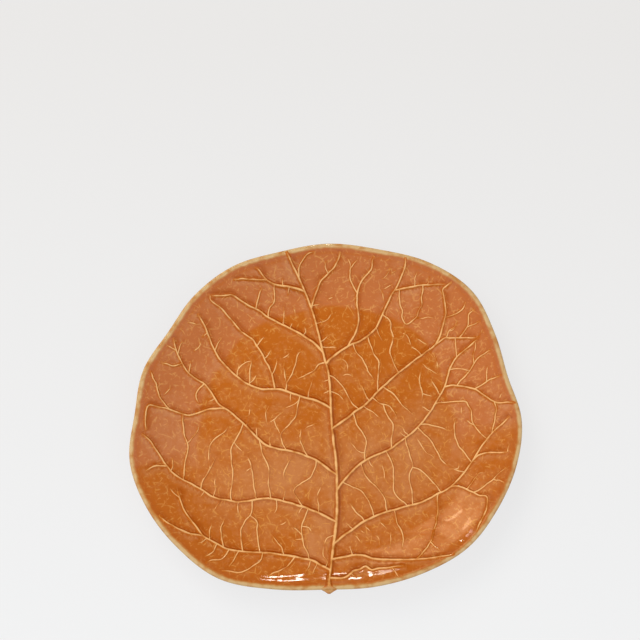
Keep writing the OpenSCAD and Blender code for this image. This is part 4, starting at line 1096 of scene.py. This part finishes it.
# %% Stalk
STALK_ASIDE = 1.2  # mm to the right of its angle
ROUND_FROM = 3  # mm out from the seam: the section is a bell before this, and round after it
stalk_at = np.array([STALK_ANGLE])
way_out = (margin(stalk_at) * scale)[0] / reach(stalk_at)[0]
sideways = np.array([way_out[1], -way_out[0]])
seam = middle + (seam_share(stalk_at)[:, None] * margin(stalk_at) * scale)[0] - STALK_ASIDE * sideways
nose_half = clay_down(stalk_at, 1)[0] / 2
# Distance out from the seam, width, height above the seat and depth below it
stalk_sections = [(-6.0, 4.4, 0.5, 0.8), (-3.0, 4.8, 0.9, 1.0), (0.0, 5.4, 1.0, 1.3), (1.4, 6.4, 0.9, 1.5),
                  (2.3, 8.0, 0.7, 1.8), (3.1, 10.4, 0.7, 2.1), (3.8, 11.6, 1.0, 2.2), (4.3, 10.2, 1.3, 2.2),
                  (4.8, 8.2, 1.5, 2.1), (5.3, 6.4, 1.5, 2.0), (5.9, 4.7, 1.4, 1.6), (6.45, 3.2, 1.1, 1.2),
                  (6.95, 1.6, 0.6, 0.6)]
section_turns = np.radians(np.arange(24) * 15.0)
section_heights = np.sin(section_turns)


def stalk_ring(out, width, above, below):
    if out <= 0:
        seat = face_z(stalk_at, 1 + out / wall_run(stalk_at))[0]
    else:
        over = min(out / RIM_W, 1.0)
        seat = face_z(stalk_at, 1)[0] + nose_half * (math.sqrt(1 - over**2) - 1)
        seat += slope(stalk_at, 1)[0] * over * RIM_W
    flat = seam + out * way_out + np.outer(np.cos(section_turns) * width / 2, sideways)
    round_or_bell = 1 if out > ROUND_FROM else 3
    raised = above * np.abs(section_heights) ** round_or_bell
    return np.column_stack([flat, seat + np.where(section_heights > 0, raised, below * section_heights)])


stalk_rings = [stalk_ring(*section) for section in stalk_sections]
ends = [stalk_rings[0].mean(0, keepdims=True), stalk_rings[-1].mean(0, keepdims=True)]
stalk_mesh = skin("stalk_glazed", [ends[0], *stalk_rings, ends[1]])
section_outs = [section[0] for section in stalk_sections]
outs = np.concatenate([section_outs[:1], np.repeat(section_outs, len(section_turns)), section_outs[-1:]])
crests = np.concatenate([[0.0], np.tile(np.clip(section_heights, 0, 1), len(stalk_rings)), [1.0]])
over_rim = ease((outs - 0.5) / 2.5)  # 0 on the wall, and 1 from 3 mm past the seam
store(stalk_mesh, "thin", crests**4 * (1 - over_rim) + 0.85 * over_rim)
# Pooled glaze with painted shade over the upper half of the stalk, where it runs on the wall
store(stalk_mesh, "pool", 0.6 * ease(crests / 0.3) * (1 - over_rim))
store(stalk_mesh, "edge", over_rim)
cloud_and_haze_over(stalk_mesh)
stalk_mesh.materials.append(glaze)
add_piece(stalk_mesh, ["stalk"])
print("stalk faces:", len(stalk_mesh.polygons))

# %% [markdown]
# ## Foot ring
# The plate stands on a low turned ring. It can't be seen in the photograph, and such plates have one.
# Its section is drawn once and turned round the middle, with its corners eased as a wet sponge leaves
# them.

# %% Foot ring
# Radius and height in mm
ring_section = [(70.0, 5.0), (69.1, 3.0), (68.5, 1.4), (68.2, 0.5), (67.8, 0.12), (67.2, 0.0), (64.8, 0.0),
                (64.2, 0.12), (63.8, 0.5), (63.5, 1.4), (62.9, 3.0), (62.0, 5.0)]
ring_ways = heading(np.arange(240) * 1.5)
turned = [np.column_stack([middle + r * ring_ways, np.full(len(ring_ways), z)]) for r, z in ring_section]
foot_mesh = skin("foot_ring_bare", turned, endless=True)
foot_mesh.materials.append(clay)
add_piece(foot_mesh, ["foot_ring"])
print("foot ring faces:", len(foot_mesh.polygons))

# %% [markdown]
# ## Removing the guide
# The guide has done its work and goes.

# %% Remove the guide
bpy.data.objects.remove(guide)
